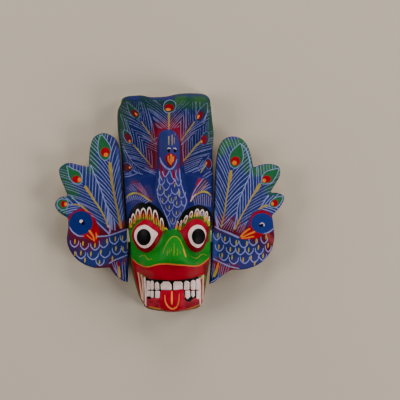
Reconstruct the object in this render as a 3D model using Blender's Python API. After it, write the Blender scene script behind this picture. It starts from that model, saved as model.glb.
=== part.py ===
"""A hand-carved peacock mask, lying on its back with its face up.

Three pieces of light wood: the mask itself, carved from half a log with a demon's
face below and a peacock in front of its raised tail above, and two sawn side
boards, each cut to a peacock, whose tongues plug into slots in the mask's sides.

Lengths are millimetres, and MM turns them into metres. +X is the viewer's right,
+Y points to the crown and +Z is the way the face looks. The flat back is at z = 0.
"""

import math

import bmesh
import bpy

MM = 0.001
FIT_GAP = 0.3
SHARP_ANGLE = 60.0

# The block's outline: how far the edge lies from x = 0 at each height y.
HALF_LENGTH = 109.5
CROWN_CORNER = 5.0
CHIN_CORNER = 4.5
LEFT_EDGE = (
    (-105.0, -25.5),
    (-95.0, -30.0),
    (-82.0, -34.0),
    (-67.0, -37.5),
    (-53.0, -39.6),
    (-37.0, -40.4),
    (-20.0, -43.0),
    (3.0, -45.2),
    (25.0, -46.6),
    (52.0, -48.6),
    (73.0, -51.6),
    (92.0, -51.8),
    (95.5, -50.6),
    (98.0, -49.0),
    (109.5, -47.5),
)
RIGHT_EDGE = (
    (-105.0, 32.0),
    (-92.0, 34.5),
    (-73.0, 37.3),
    (-58.0, 39.4),
    (-40.0, 40.6),
    (-20.0, 42.0),
    (3.0, 43.2),
    (25.0, 43.6),
    (50.0, 42.6),
    (68.0, 44.0),
    (85.0, 42.4),
    (109.5, 40.2),
)
# How far the two sawn ends lie beyond or short of HALF_LENGTH, across x.
TOP_CUT = (
    (-48.0, -3.2),
    (-27.0, -2.2),
    (-21.0, -4.0),
    (-4.0, -3.4),
    (8.0, -0.8),
    (20.0, 0.0),
    (34.0, -0.6),
    (40.0, -2.4),
)
CHIN_CUT = ((-26.0, 3.6), (-14.0, 1.6), (3.0, 0.0), (18.0, 1.8), (32.0, 4.4))
END_ZONE = 16.0

# The block's thickness along y: at its outer edge and down its middle.
EDGE_THICKNESS = (
    (-109.5, 19.0),
    (-85.0, 22.0),
    (-50.0, 25.0),
    (-10.0, 25.0),
    (25.0, 23.0),
    (60.0, 21.5),
    (109.5, 20.5),
)
MIDDLE_THICKNESS = (
    (-109.5, 34.0),
    (-98.0, 38.0),
    (-80.0, 42.5),
    (-62.0, 45.0),
    (-35.0, 44.0),
    (-10.0, 41.5),
    (14.0, 40.0),
    (30.0, 39.5),
    (60.0, 39.0),
    (92.0, 37.0),
    (109.5, 35.5),
)
FLATNESS = 2.7
EDGE_ROUNDNESS = 0.58
FACE_MARGIN = 0.14
END_ROUND = 5.5

# The tail stands behind the brow. The ledge between them, across x, and its drop.
LEDGE = ((-50.0, 28.5), (-30.0, 28.0), (-12.0, 31.0), (12.0, 32.0), (30.0, 28.5), (45.0, 24.5))
LEDGE_SLOPE = 3.2
LEDGE_DROP = (3.0, 9.5)

# The peacock that rises over the brow: its middle, half width and height along y.
BIRD = (
    (-27.0, 1.4, 2.0, 43.0),
    (-17.5, 1.8, 5.8, 45.0),
    (-10.0, 2.0, 9.4, 46.0),
    (-3.0, 1.6, 13.4, 46.8),
    (5.0, 0.6, 15.4, 47.2),
    (14.0, -0.4, 14.8, 47.4),
    (24.0, -1.1, 12.6, 46.8),
    (33.0, -1.3, 11.6, 45.4),
    (40.0, -1.4, 12.0, 47.0),
    (49.0, -1.4, 12.4, 48.4),
    (60.0, -1.5, 12.0, 47.2),
    (66.0, -1.6, 11.0, 44.6),
    (70.5, -1.6, 9.0, 40.4),
    (73.5, -1.6, 6.6, 36.0),
    (75.5, -1.6, 4.0, 32.0),
    (76.6, -1.6, 1.6, 29.4),
)
BIRD_ROUNDNESS = 0.65
BEAK = (-0.7, 43.6, 6.4, 9.0, 3.8)

# Each brow and eye, for the viewer's left and right: middle x, y, radii, height.
BROWS = ((-23.0, -27.0, 20.5, 27.0, 5.0), (24.0, -28.5, 18.5, 26.0, 5.0))
EYES = ((-24.0, -33.3, 15.0, 16.6, 4.4), (23.4, -33.2, 14.6, 15.9, 4.4))
LID_GROOVE = 1.0

# The nose: its middle, half width and height along y.
NOSE = (
    (-66.0, 3.0, 15.5, 0.0),
    (-60.0, 3.0, 15.0, 4.6),
    (-53.0, 3.2, 14.0, 6.6),
    (-44.0, 3.4, 11.5, 5.2),
    (-34.0, 3.6, 7.5, 3.0),
    (-24.0, 3.0, 4.0, 0.0),
)

# The muzzle's lower edge and the mouth's upper edge, across x.
MUZZLE_EDGE = (
    (-40.0, -52.5),
    (-35.5, -60.0),
    (-28.0, -64.8),
    (-21.0, -64.8),
    (-10.0, -60.6),
    (0.0, -59.5),
    (11.0, -60.6),
    (19.0, -63.2),
    (26.0, -63.6),
    (32.5, -61.4),
    (38.0, -55.0),
)
MOUTH_EDGE = ((-26.0, -75.0), (-19.0, -77.4), (1.0, -79.2), (18.0, -77.6), (29.0, -73.8))
MUZZLE_STEP = 2.6
LIP_BULGE = 1.4
MOUTH_STEP = 2.8
LOWER_LIP_TOP = -95.0
LOWER_LIP_STEP = 1.4
TONGUE = (0.8, 12.2, -87.5, 3.2)

# Rows of the carved surface, as bands of y, each cut into equal strips.
ROW_BANDS = (
    (-109.5, -104.0, 4),
    (-104.0, -56.0, 19),
    (-56.0, -10.0, 16),
    (-10.0, 22.0, 8),
    (22.0, 35.0, 6),
    (35.0, 64.0, 11),
    (64.0, 76.6, 8),
    (76.6, 104.0, 7),
    (104.0, 109.5, 4),
)
# Columns of it: so many beside the peacock and across it, which follow its flanks.
SIDE_COLUMNS = 13
BIRD_COLUMNS = 12
BARE_STRIP = 9.0
STRIP_WIDENS = ((-25.0, -50.0), (78.0, 95.0))
EDGE_CROWDING = 0.45

# The hollow gouged out of the back: its depth along y, and its walls.
HOLLOW_DEPTH = (
    (-97.0, 5.0),
    (-94.0, 15.0),
    (-88.0, 22.0),
    (-74.0, 27.0),
    (-50.0, 28.0),
    (5.0, 27.0),
    (16.0, 24.0),
    (30.0, 17.0),
    (45.0, 15.5),
    (94.0, 15.0),
)
HOLLOW_WALL = ((-97.0, 20.0), (-90.0, 14.5), (-75.0, 12.5), (-40.0, 12.0), (94.0, 12.0))
HOLLOW_SQUARENESS = 4.0
HOLLOW_ROWS = 22
HOLLOW_COLUMNS = 12
CUT_BELOW = -3.0

# The side boards. Each is a chain of smooth stretches that meet at sharp corners.
BOARD_BACK = 12.5
BOARD_THICKNESS = 7.0
BOARD_EDGE_ROUND = 1.8
OUTLINE_STEP = 3.2
LEFT_BOARD = (
    # inner edge and the tallest feather
    ((-42.0, -79.5), (-41.4, -60.0), (-41.5, -42.0), (-43.4, -25.0), (-46.1, -2.5))
    + ((-47.8, 20.0), (-49.4, 45.0), (-50.8, 57.0), (-56.0, 65.4), (-67.0, 69.6))
    + ((-76.4, 64.8), (-80.2, 52.0), (-81.0, 35.2)),
    # second feather
    ((-81.0, 35.2), (-92.0, 37.8), (-103.0, 39.6), (-110.6, 33.8), (-109.6, 25.0))
    + ((-105.0, 14.0), (-102.2, 6.3)),
    # third feather
    ((-102.2, 6.3), (-110.2, 4.8), (-115.0, -1.6), (-111.6, -9.0), (-101.8, -15.6)),
    # nape, breast and belly
    ((-101.8, -15.6), (-101.6, -25.0), (-103.0, -38.0), (-98.8, -50.0), (-89.0, -60.0))
    + ((-76.0, -65.2), (-60.4, -64.8),),
    # tail
    ((-60.4, -64.8), (-53.5, -73.8), (-46.8, -78.6), (-42.0, -79.5)),
)
RIGHT_BOARD = (
    ((39.6, -82.0), (41.0, -60.0), (41.8, -42.0), (42.9, -25.0), (44.5, 0.0))
    + ((45.4, 26.0), (47.8, 50.0), (52.0, 61.0), (58.5, 65.6), (66.5, 66.0))
    + ((74.6, 62.0), (80.4, 51.0), (83.8, 35.2)),
    ((83.8, 35.2), (92.0, 38.0), (101.5, 38.8), (109.8, 35.6), (110.6, 27.0))
    + ((105.0, 17.0), (100.6, 9.8)),
    ((100.6, 9.8), (109.0, 9.6), (115.0, 5.6), (111.6, -3.4), (102.6, -13.0)),
    ((102.6, -13.0), (104.3, -25.0), (104.8, -37.0), (101.0, -49.5), (91.6, -60.4))
    + ((77.0, -66.6), (61.0, -67.6),),
    ((61.0, -67.6), (52.0, -73.8), (45.0, -79.2), (39.6, -82.0)),
)
# The tongue that joins each board to the mask, and the slot that takes it.
TONGUE_SPAN = (-39.5, -26.0)
TONGUE_BACK = 13.0
TONGUE_THICKNESS = 6.0
TONGUE_ROOT = 47.0
TONGUE_TIP = 33.2
SLOT_END = 32.6
SLOT_MOUTH = 46.0

# name: colour, roughness
PAINTED_MASK = ("painted_mask", (0.015, 0.190, 0.015), 0.45)
PAINTED_BOARD = ("painted_board", (0.010, 0.030, 0.160), 0.45)


def clear_scene():
    for old in list(bpy.data.objects):
        bpy.data.objects.remove(old)


def material(name, colour, roughness):
    made = bpy.data.materials.get(name)
    if made is None:
        made = bpy.data.materials.new(name)
        made.use_nodes = True
        shader = made.node_tree.nodes["Principled BSDF"]
        shader.inputs["Base Color"].default_value = (*colour, 1.0)
        shader.inputs["Roughness"].default_value = roughness
        shader.inputs["Metallic"].default_value = 0.0
    return made


def along(stations, at, column=1):
    """The value at one place of a smooth curve through (place, value, ...) rows."""
    if at <= stations[0][0]:
        return stations[0][column]
    if at >= stations[-1][0]:
        return stations[-1][column]
    i = next(n for n in range(len(stations) - 1) if at <= stations[n + 1][0])
    before = stations[max(i - 1, 0)]
    start, end = stations[i], stations[i + 1]
    after = stations[min(i + 2, len(stations) - 1)]
    span = end[0] - start[0]
    share = (at - start[0]) / span
    slope_in = (end[column] - before[column]) / (end[0] - before[0]) * span
    slope_out = (after[column] - start[column]) / (after[0] - start[0]) * span
    return (
        start[column] * (1 + 2 * share) * (1 - share) ** 2
        + slope_in * share * (1 - share) ** 2
        + end[column] * share**2 * (3 - 2 * share)
        - slope_out * share**2 * (1 - share)
    )


def ramp(low, high, value):
    """0 up to low, 1 from high on, and a smooth rise between them."""
    share = min(max((value - low) / (high - low), 0.0), 1.0)
    return share * share * (3 - 2 * share)


def outside(x, y, form):
    """How far a point lies from an oval's middle: 1 on its rim, more outside."""
    middle_x, middle_y, radius_x, radius_y = form[:4]
    return ((x - middle_x) / radius_x) ** 2 + ((y - middle_y) / radius_y) ** 2


def rounded_end(distance, radius):
    """How far a rounded edge has drawn back, at this distance from the end."""
    short = max(radius - distance, 0.0)
    return radius - math.sqrt(radius * radius - short * short)


def block_edges(y):
    """The block's left and right edge at y, with its rounded corners."""
    to_end = HALF_LENGTH - abs(y)
    corner = rounded_end(to_end, CROWN_CORNER if y > 0 else CHIN_CORNER)
    return along(LEFT_EDGE, y) + corner, along(RIGHT_EDGE, y) - corner


def log_surface(across, x, y):
    """The half log before any carving. across is 0 in the middle, 1 at the edges."""
    edge = along(EDGE_THICKNESS, y)
    rise = along(MIDDLE_THICKNESS, y) - edge
    swell = max(1 - across**FLATNESS, 0.0) ** EDGE_ROUNDNESS
    ledge = along(LEDGE, x)
    behind = ramp(ledge - LEDGE_SLOPE, ledge + LEDGE_SLOPE, y)
    drop = LEDGE_DROP[0] + (LEDGE_DROP[1] - LEDGE_DROP[0]) * swell
    return edge + rise * swell - drop * behind - rounded_end(HALF_LENGTH - abs(y), END_ROUND)


def bird_surface(x, y, ground):
    """The peacock's head, neck and breast, standing out of the ground round them."""
    if not BIRD[0][0] < y < BIRD[-1][0]:
        return ground
    sideways = (x - along(BIRD, y, 1)) / along(BIRD, y, 2)
    share = max(1 - sideways**2, 0.0) ** BIRD_ROUNDNESS
    beak = BEAK[4] * max(1 - outside(x, y, BEAK), 0.0) ** 0.8
    return ground + share * max(along(BIRD, y, 3) - ground, 0.0) + beak


def eye_relief(x, y):
    """Both brow bulges, with an eyeball in a shallow groove on each."""
    height = 0.0
    for brow, eye in zip(BROWS, EYES, strict=True):
        height += brow[4] * max(1 - outside(x, y, brow), 0.0) ** 1.3
        rim = outside(x, y, eye)
        height += eye[4] * max(1 - rim, 0.0) ** 0.8
        height -= LID_GROOVE * max(1 - abs(rim - 1.1) / 0.4, 0.0)
    return height


def nose_relief(x, y):
    sideways = (x - along(NOSE, y, 1)) / along(NOSE, y, 2)
    return along(NOSE, y, 3) * max(1 - sideways**2, 0.0) ** 0.8


def mouth_relief(x, y):
    """The muzzle's step, the upper lip, the sunk teeth, the lower lip and tongue."""
    muzzle, mouth = along(MUZZLE_EDGE, x), along(MOUTH_EDGE, x)
    if y > muzzle + 1:
        return 0.0
    middle_of_lip, half_lip = (muzzle + mouth) / 2, (muzzle - mouth) / 2
    height = -MUZZLE_STEP * ramp(-1.0, 1.2, muzzle - y)
    height += LIP_BULGE * max(1 - ((y - middle_of_lip) / half_lip) ** 2, 0.0)
    sunk = MOUTH_STEP * ramp(-1.0, 1.2, mouth - y)
    sunk -= LOWER_LIP_STEP * ramp(-1.2, 1.2, LOWER_LIP_TOP - y)
    middle, half_width, top, rise = TONGUE
    sideways = (x - middle) / half_width
    tongue = rise * math.sqrt(max(1 - sideways**2, 0.0)) * ramp(-0.5, 4.0, top - y)
    return height - sunk + tongue


def carved_height(x, y):
    """The front surface's height over the back, anywhere on the block."""
    left, right = block_edges(y)
    across = min(abs(2 * x - left - right) / (right - left), 1.0)
    ground = log_surface(across, x, y)
    fade = ramp(0.0, FACE_MARGIN, 1 - across)
    face = eye_relief(x, y) + nose_relief(x, y) + mouth_relief(x, y)
    return bird_surface(x, y, ground + fade * face)


def row_places():
    places = [ROW_BANDS[0][0]]
    for low, high, strips in ROW_BANDS:
        places += [low + (high - low) * (n + 1) / strips for n in range(strips)]
    return places


def strip(start, end, columns, crowding):
    """Places from start to end, crowded towards the start, without the end."""
    shares = (n / columns for n in range(columns))
    return [start + (end - start) * share ** (1 + crowding) for share in shares]


def front_row(row):
    """The points of the carved front along one row, from left edge to right edge."""
    left, right = block_edges(row)
    middle = along(BIRD, row, 1)
    bare = BARE_STRIP * max(ramp(*ends, row) for ends in STRIP_WIDENS)
    half = max(along(BIRD, row, 2), bare)
    places = strip(left, middle - half, SIDE_COLUMNS, EDGE_CROWDING)
    places += strip(middle - half, middle + half, BIRD_COLUMNS, 0.0)
    places += [middle + half]
    places += strip(right, middle + half, SIDE_COLUMNS, EDGE_CROWDING)[::-1]
    points = []
    for x in places:
        y = row + along(TOP_CUT, x) * ramp(0, END_ZONE, row - HALF_LENGTH + END_ZONE)
        y += along(CHIN_CUT, x) * ramp(0, END_ZONE, END_ZONE - HALF_LENGTH - row)
        points.append((x, y, carved_height(x, row)))
    return points


def hollow_row(row):
    """The points of the hollow's inside along one row, which follow the outline."""
    left, right = block_edges(row)
    middle, half = (left + right) / 2, (right - left) / 2 - along(HOLLOW_WALL, row)
    depth = along(HOLLOW_DEPTH, row)
    points = []
    for n in range(HOLLOW_COLUMNS + 1):
        across = -math.cos(math.pi * n / HOLLOW_COLUMNS)
        arch = max(1 - abs(across) ** HOLLOW_SQUARENESS, 0.0) ** 0.5
        points.append((middle + half * across, row, depth * arch))
    return points


def solid_under(rows, foot):
    """A surface given as rows of points, with upright sides down to a flat foot."""
    work = bmesh.new()
    grid = []
    for row in rows:
        grid.append([work.verts.new((x * MM, y * MM, z * MM)) for x, y, z in row])
    for low, high in zip(grid, grid[1:]):
        for n in range(len(low) - 1):
            work.faces.new((low[n], low[n + 1], high[n + 1], high[n]))
    rim = grid[0] + [row[-1] for row in grid[1:-1]] + grid[-1][::-1]
    rim += [row[0] for row in grid[-2:0:-1]]
    below = [work.verts.new((v.co.x, v.co.y, foot * MM)) for v in rim]
    for n, corner in enumerate(rim):
        after = (n + 1) % len(rim)
        work.faces.new((corner, below[n], below[after], rim[after]))
    work.faces.new(below[::-1])
    bmesh.ops.recalc_face_normals(work, faces=work.faces)
    return work


def finished(work, name, finish):
    """Turns a bmesh into an object of this name and finish."""
    mesh = bpy.data.meshes.new(name)
    work.to_mesh(mesh)
    work.free()
    mesh.shade_smooth()
    mesh.set_sharp_from_angle(angle=math.radians(SHARP_ANGLE))
    mesh.materials.append(material(*finish))
    made = bpy.data.objects.new(name, mesh)
    bpy.context.scene.collection.objects.link(made)
    return made


def box(x_range, y_range, z_range):
    """A box between three pairs of limits."""
    work = bmesh.new()
    bmesh.ops.create_cube(work, size=1.0)
    for corner in work.verts:
        for axis, (low, high) in enumerate((x_range, y_range, z_range)):
            corner.co[axis] = MM * (high if corner.co[axis] > 0 else low)
    return work


def use(target, tool, operation):
    """Cuts or joins target with tool, which is then only a helper."""
    tool.hide_render = True
    tool.display_type = "WIRE"
    change = target.modifiers.new(tool.name, "BOOLEAN")
    change.operation = operation
    change.solver = "EXACT"
    change.object = tool


def tongue_box(side, inner, outer, gap):
    """The box of a tongue, or with a gap of its slot. side is -1 or 1."""
    x_range = sorted((side * inner, side * outer))
    y_range = (TONGUE_SPAN[0] - gap, TONGUE_SPAN[1] + gap)
    z_range = (TONGUE_BACK - gap, TONGUE_BACK + TONGUE_THICKNESS + gap)
    return box(x_range, y_range, z_range)


def make_mask():
    front = solid_under([front_row(row) for row in row_places()], 0.0)
    mask = finished(front, "carved_mask", PAINTED_MASK)
    low, high = HOLLOW_DEPTH[0][0], HOLLOW_DEPTH[-1][0]
    rows = [low + (high - low) * n / HOLLOW_ROWS for n in range(HOLLOW_ROWS + 1)]
    hollow = solid_under([hollow_row(row) for row in rows], CUT_BELOW)
    use(mask, finished(hollow, "back_hollow", PAINTED_MASK), "DIFFERENCE")
    for side, name in ((-1, "left_slot"), (1, "right_slot")):
        slot = tongue_box(side, SLOT_END, SLOT_MOUTH, FIT_GAP)
        use(mask, finished(slot, name, PAINTED_MASK), "DIFFERENCE")


def smooth_stretch(points):
    """Points at even steps along a smooth curve through these, without the last."""
    distance = [0.0]
    for (x0, y0), (x1, y1) in zip(points, points[1:]):
        distance.append(distance[-1] + math.hypot(x1 - x0, y1 - y0))
    stations = [(d, x, y) for d, (x, y) in zip(distance, points)]
    steps = max(round(distance[-1] / OUTLINE_STEP), 2)
    places = [distance[-1] * n / steps for n in range(steps)]
    return [(along(stations, d, 1), along(stations, d, 2)) for d in places]


def board(stretches):
    """A flat board sawn to an outline, with its front edge rounded over."""
    outline = [p for stretch in stretches for p in smooth_stretch(stretch)]
    work = bmesh.new()
    back = [work.verts.new((x * MM, y * MM, BOARD_BACK * MM)) for x, y in outline]
    face = work.faces.new(back)
    raised = bmesh.ops.extrude_face_region(work, geom=[face])["geom"]
    front = [g for g in raised if isinstance(g, bmesh.types.BMVert)]
    bmesh.ops.translate(work, verts=front, vec=(0, 0, BOARD_THICKNESS * MM))
    rim = [g for g in raised if isinstance(g, bmesh.types.BMEdge)]
    bmesh.ops.bevel(
        work,
        geom=rim,
        offset=BOARD_EDGE_ROUND * MM,
        segments=2,
        profile=0.5,
        affect="EDGES",
        clamp_overlap=True,
    )
    bmesh.ops.recalc_face_normals(work, faces=work.faces)
    return work


def make_board(side, name, stretches):
    wing = finished(board(stretches), name, PAINTED_BOARD)
    tongue = tongue_box(side, TONGUE_TIP, TONGUE_ROOT, 0.0)
    use(wing, finished(tongue, name + "_tongue", PAINTED_BOARD), "UNION")


clear_scene()
make_mask()
make_board(-1, "left_peacock_board", LEFT_BOARD)
make_board(1, "right_peacock_board", RIGHT_BOARD)
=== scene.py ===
# %% [markdown]
# # A painted peacock mask
#
# This lesson dresses a carved wooden wall mask: a green demon face with bulging eyes and
# its tongue out, a peacock that rises over the brow, and a sawn board painted as a peacock
# plugged into each side. The solids come from the CAD part, which fixes every size and
# place. Here they get a hand-carved skin, their paint and the light of a small studio.

# %% Load the CAD part
import math

import bpy
import numpy as np
from mathutils import Matrix, Vector, noise


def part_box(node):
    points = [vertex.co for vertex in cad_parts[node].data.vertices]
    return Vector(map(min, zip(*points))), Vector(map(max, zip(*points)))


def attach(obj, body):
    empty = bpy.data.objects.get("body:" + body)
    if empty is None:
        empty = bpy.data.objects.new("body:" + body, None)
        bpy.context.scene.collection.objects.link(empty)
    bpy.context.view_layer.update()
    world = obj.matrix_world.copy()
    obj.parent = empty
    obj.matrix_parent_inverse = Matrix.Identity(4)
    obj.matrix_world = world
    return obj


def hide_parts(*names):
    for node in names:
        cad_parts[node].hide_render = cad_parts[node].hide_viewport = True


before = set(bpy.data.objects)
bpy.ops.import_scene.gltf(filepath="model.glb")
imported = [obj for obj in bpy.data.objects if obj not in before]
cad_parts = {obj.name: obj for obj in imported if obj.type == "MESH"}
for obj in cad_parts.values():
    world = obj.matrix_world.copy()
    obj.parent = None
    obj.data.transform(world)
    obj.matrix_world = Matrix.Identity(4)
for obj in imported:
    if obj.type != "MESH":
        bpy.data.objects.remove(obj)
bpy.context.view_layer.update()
MM = 0.001
ROOT = "root"
print("solids:", ", ".join(sorted(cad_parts)))

# %% [markdown]
# ## A skin fine enough to carve and paint
#
# The real mask is cut from light wood with chisels and knives, so nothing on it is a
# perfect facet. We could add a bevel to each CAD edge, but the facets of the swelling
# forms would still show. A voxel remesh gives an even skin instead, smoothing rounds it
# as sandpaper does, and the faces that look forward are subdivided once more, because
# they carry the carving and the brushwork. The flat back isn't smoothed: it is what the
# mask rests on.

# %% Helpers that work on one piece at a time
def alone(piece):
    """Selects one piece and nothing else."""
    bpy.ops.object.select_all(action="DESELECT")
    piece.select_set(True)
    bpy.context.view_layer.objects.active = piece


def points_of(piece, what="co", per="vertices"):
    """One row of three numbers for each vertex or face."""
    items = getattr(piece.data, per)
    values = np.empty(len(items) * 3, dtype=np.float64)
    items.foreach_get(what, values)
    return values.reshape(-1, 3)


def facing_of(piece, per="vertices"):
    """How far each vertex or face looks forward: 1 is straight up, -1 is straight back."""
    return points_of(piece, "normal", per)[:, 2]


def edit(piece, per, wanted, operation, **settings):
    """Runs one mesh operation on the wanted vertices or faces, and on nothing else."""
    alone(piece)
    mesh = piece.data
    for kind in ("vertices", "edges", "polygons"):
        items = getattr(mesh, kind)
        items.foreach_set("select", wanted if kind == per else np.zeros(len(items), dtype=bool))
    mesh.update()
    bpy.ops.object.mode_set(mode="EDIT")
    bpy.ops.mesh.select_mode(type="VERT" if per == "vertices" else "FACE")
    operation(**settings)
    bpy.ops.object.mode_set(mode="OBJECT")


def everything(piece, per):
    return np.ones(len(getattr(piece.data, per)), dtype=bool)


print("helpers: select, measure and edit one piece")

# %% Make the worked skins
SAME_POINT = 1e-6
RUB = 0.5
FINE_RUBS = 3
LOOKS_BACK = -0.2
BACK_SHARE = 0.15
LOOKS_FORWARD = 0.25
FORWARD_POINTS = 0.3
ARRIS = math.radians(50)


def worked_skin(name, node, voxel, rubs, keep_flat_below):
    """A remeshed, rubbed-down copy of a CAD node with a fine front and a plain back."""
    piece = bpy.data.objects.new(name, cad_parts[node].data.copy())
    bpy.context.scene.collection.objects.link(piece)
    edit(piece, "vertices", everything(piece, "vertices"), bpy.ops.mesh.remove_doubles,
         threshold=SAME_POINT)
    skin = piece.modifiers.new("even skin", "REMESH")
    skin.mode = "VOXEL"
    skin.voxel_size = voxel * MM
    bpy.ops.object.modifier_apply(modifier=skin.name)

    height = points_of(piece)[:, 2] / MM
    edit(piece, "vertices", height > keep_flat_below, bpy.ops.mesh.vertices_smooth,
         factor=RUB, repeat=rubs)
    edit(piece, "polygons", facing_of(piece, "polygons") < LOOKS_BACK, bpy.ops.mesh.decimate,
         ratio=BACK_SHARE)
    edit(piece, "polygons", facing_of(piece, "polygons") > LOOKS_FORWARD, bpy.ops.mesh.subdivide,
         number_cuts=1, smoothness=0)
    edit(piece, "vertices", facing_of(piece) > FORWARD_POINTS, bpy.ops.mesh.vertices_smooth,
         factor=RUB, repeat=FINE_RUBS)
    bpy.ops.object.shade_smooth_by_angle(angle=ARRIS)

    piece.data.materials.clear()
    triangles = sum(len(face.vertices) - 2 for face in piece.data.polygons)
    print(f"{name}: {len(piece.data.vertices)} points, {triangles} triangles")
    return piece


mask = worked_skin("painted_mask_carving", "carved_mask", 1.22, 9, 5.0)
left_board = worked_skin("left_board_painted", "left_peacock_board", 0.7, 4, 0.0)
right_board = worked_skin("right_board_painted", "right_peacock_board", 0.7, 4, 0.0)

# %% [markdown]
# ## Brushes
#
# A mask like this has several hundred brush strokes. An image texture could hold them,
# but it has one size of dot and needs an unwrapped mesh. Here every coat of paint is a
# distance, in millimetres, from the edge of its strokes: above nought there is paint, and
# below there is none. The material cuts the edge at nought, so it stays crisp however
# near we come. One number a point and coat is all that is stored.
#
# The strokes are laid out as a person who faces the mask sees them, from a touch to the
# left, so a high point is painted slightly sideways of where it lies.

# %% Curves and distances
SIGHT_ANGLE = math.radians(3.5)
SIGHT_SLOPE = math.tan(SIGHT_ANGLE)
SIGHT_HEIGHT = 20.0
NO_PAINT = -4.0
FAR = -99.0
rng = np.random.default_rng(7)


def curve(points, closed=False, steps=5):
    """A smooth line through the points (Catmull-Rom)."""
    p = np.asarray(points, dtype=float)
    if len(p) < 3:
        return p
    if closed:
        p = np.vstack((p[-1], p, p[:2]))
    else:
        p = np.vstack((2 * p[0] - p[1], p, 2 * p[-1] - p[-2]))
    t = np.linspace(0, 1, steps, endpoint=False)[:, None]
    spans = [
        0.5 * (2 * b + (c - a) * t + (2 * a - 5 * b + 4 * c - d) * t**2
               + (3 * b - a - 3 * c + d) * t**3)
        for a, b, c, d in zip(p, p[1:], p[2:], p[3:])
    ]
    return np.vstack(spans + [p[-2][None]])


def smooth(t):
    """Nought below 0, one above 1, and an eased rise between."""
    t = np.clip(t, 0, 1)
    return t * t * (3 - 2 * t)


def pigment(red, green, blue):
    """A colour as a painter would read it off a card, made linear."""
    c = np.array((red, green, blue)) / 255
    return np.where(c < 0.04045, c / 12.92, ((c + 0.055) / 1.055) ** 2.4)


def mixed(colour):
    """A colour that is mixed already, or three card values made into one."""
    return pigment(*colour) if isinstance(colour, tuple) else colour


print("a point 10 mm higher is painted", round(10 * SIGHT_SLOPE, 2), "mm to the side")


# %% The brush
COATS = ("leaf", "black", "red", "tan", "white", "ink", "scarlet", "mist", "pale", "ochre",
         "yellow", "orange", "coral", "bare", "rub")
STROKE_MARGIN = 1.5
TRACE_MARGIN = 2
REGION_MARGIN = 5
RAGGED_SCALE = 0.35
RAGGED_SHARE = 0.35
RAGGED_SLICE = 3.0
TINT_REACH = 1.6
TINT_CORE = 1.25


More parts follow.
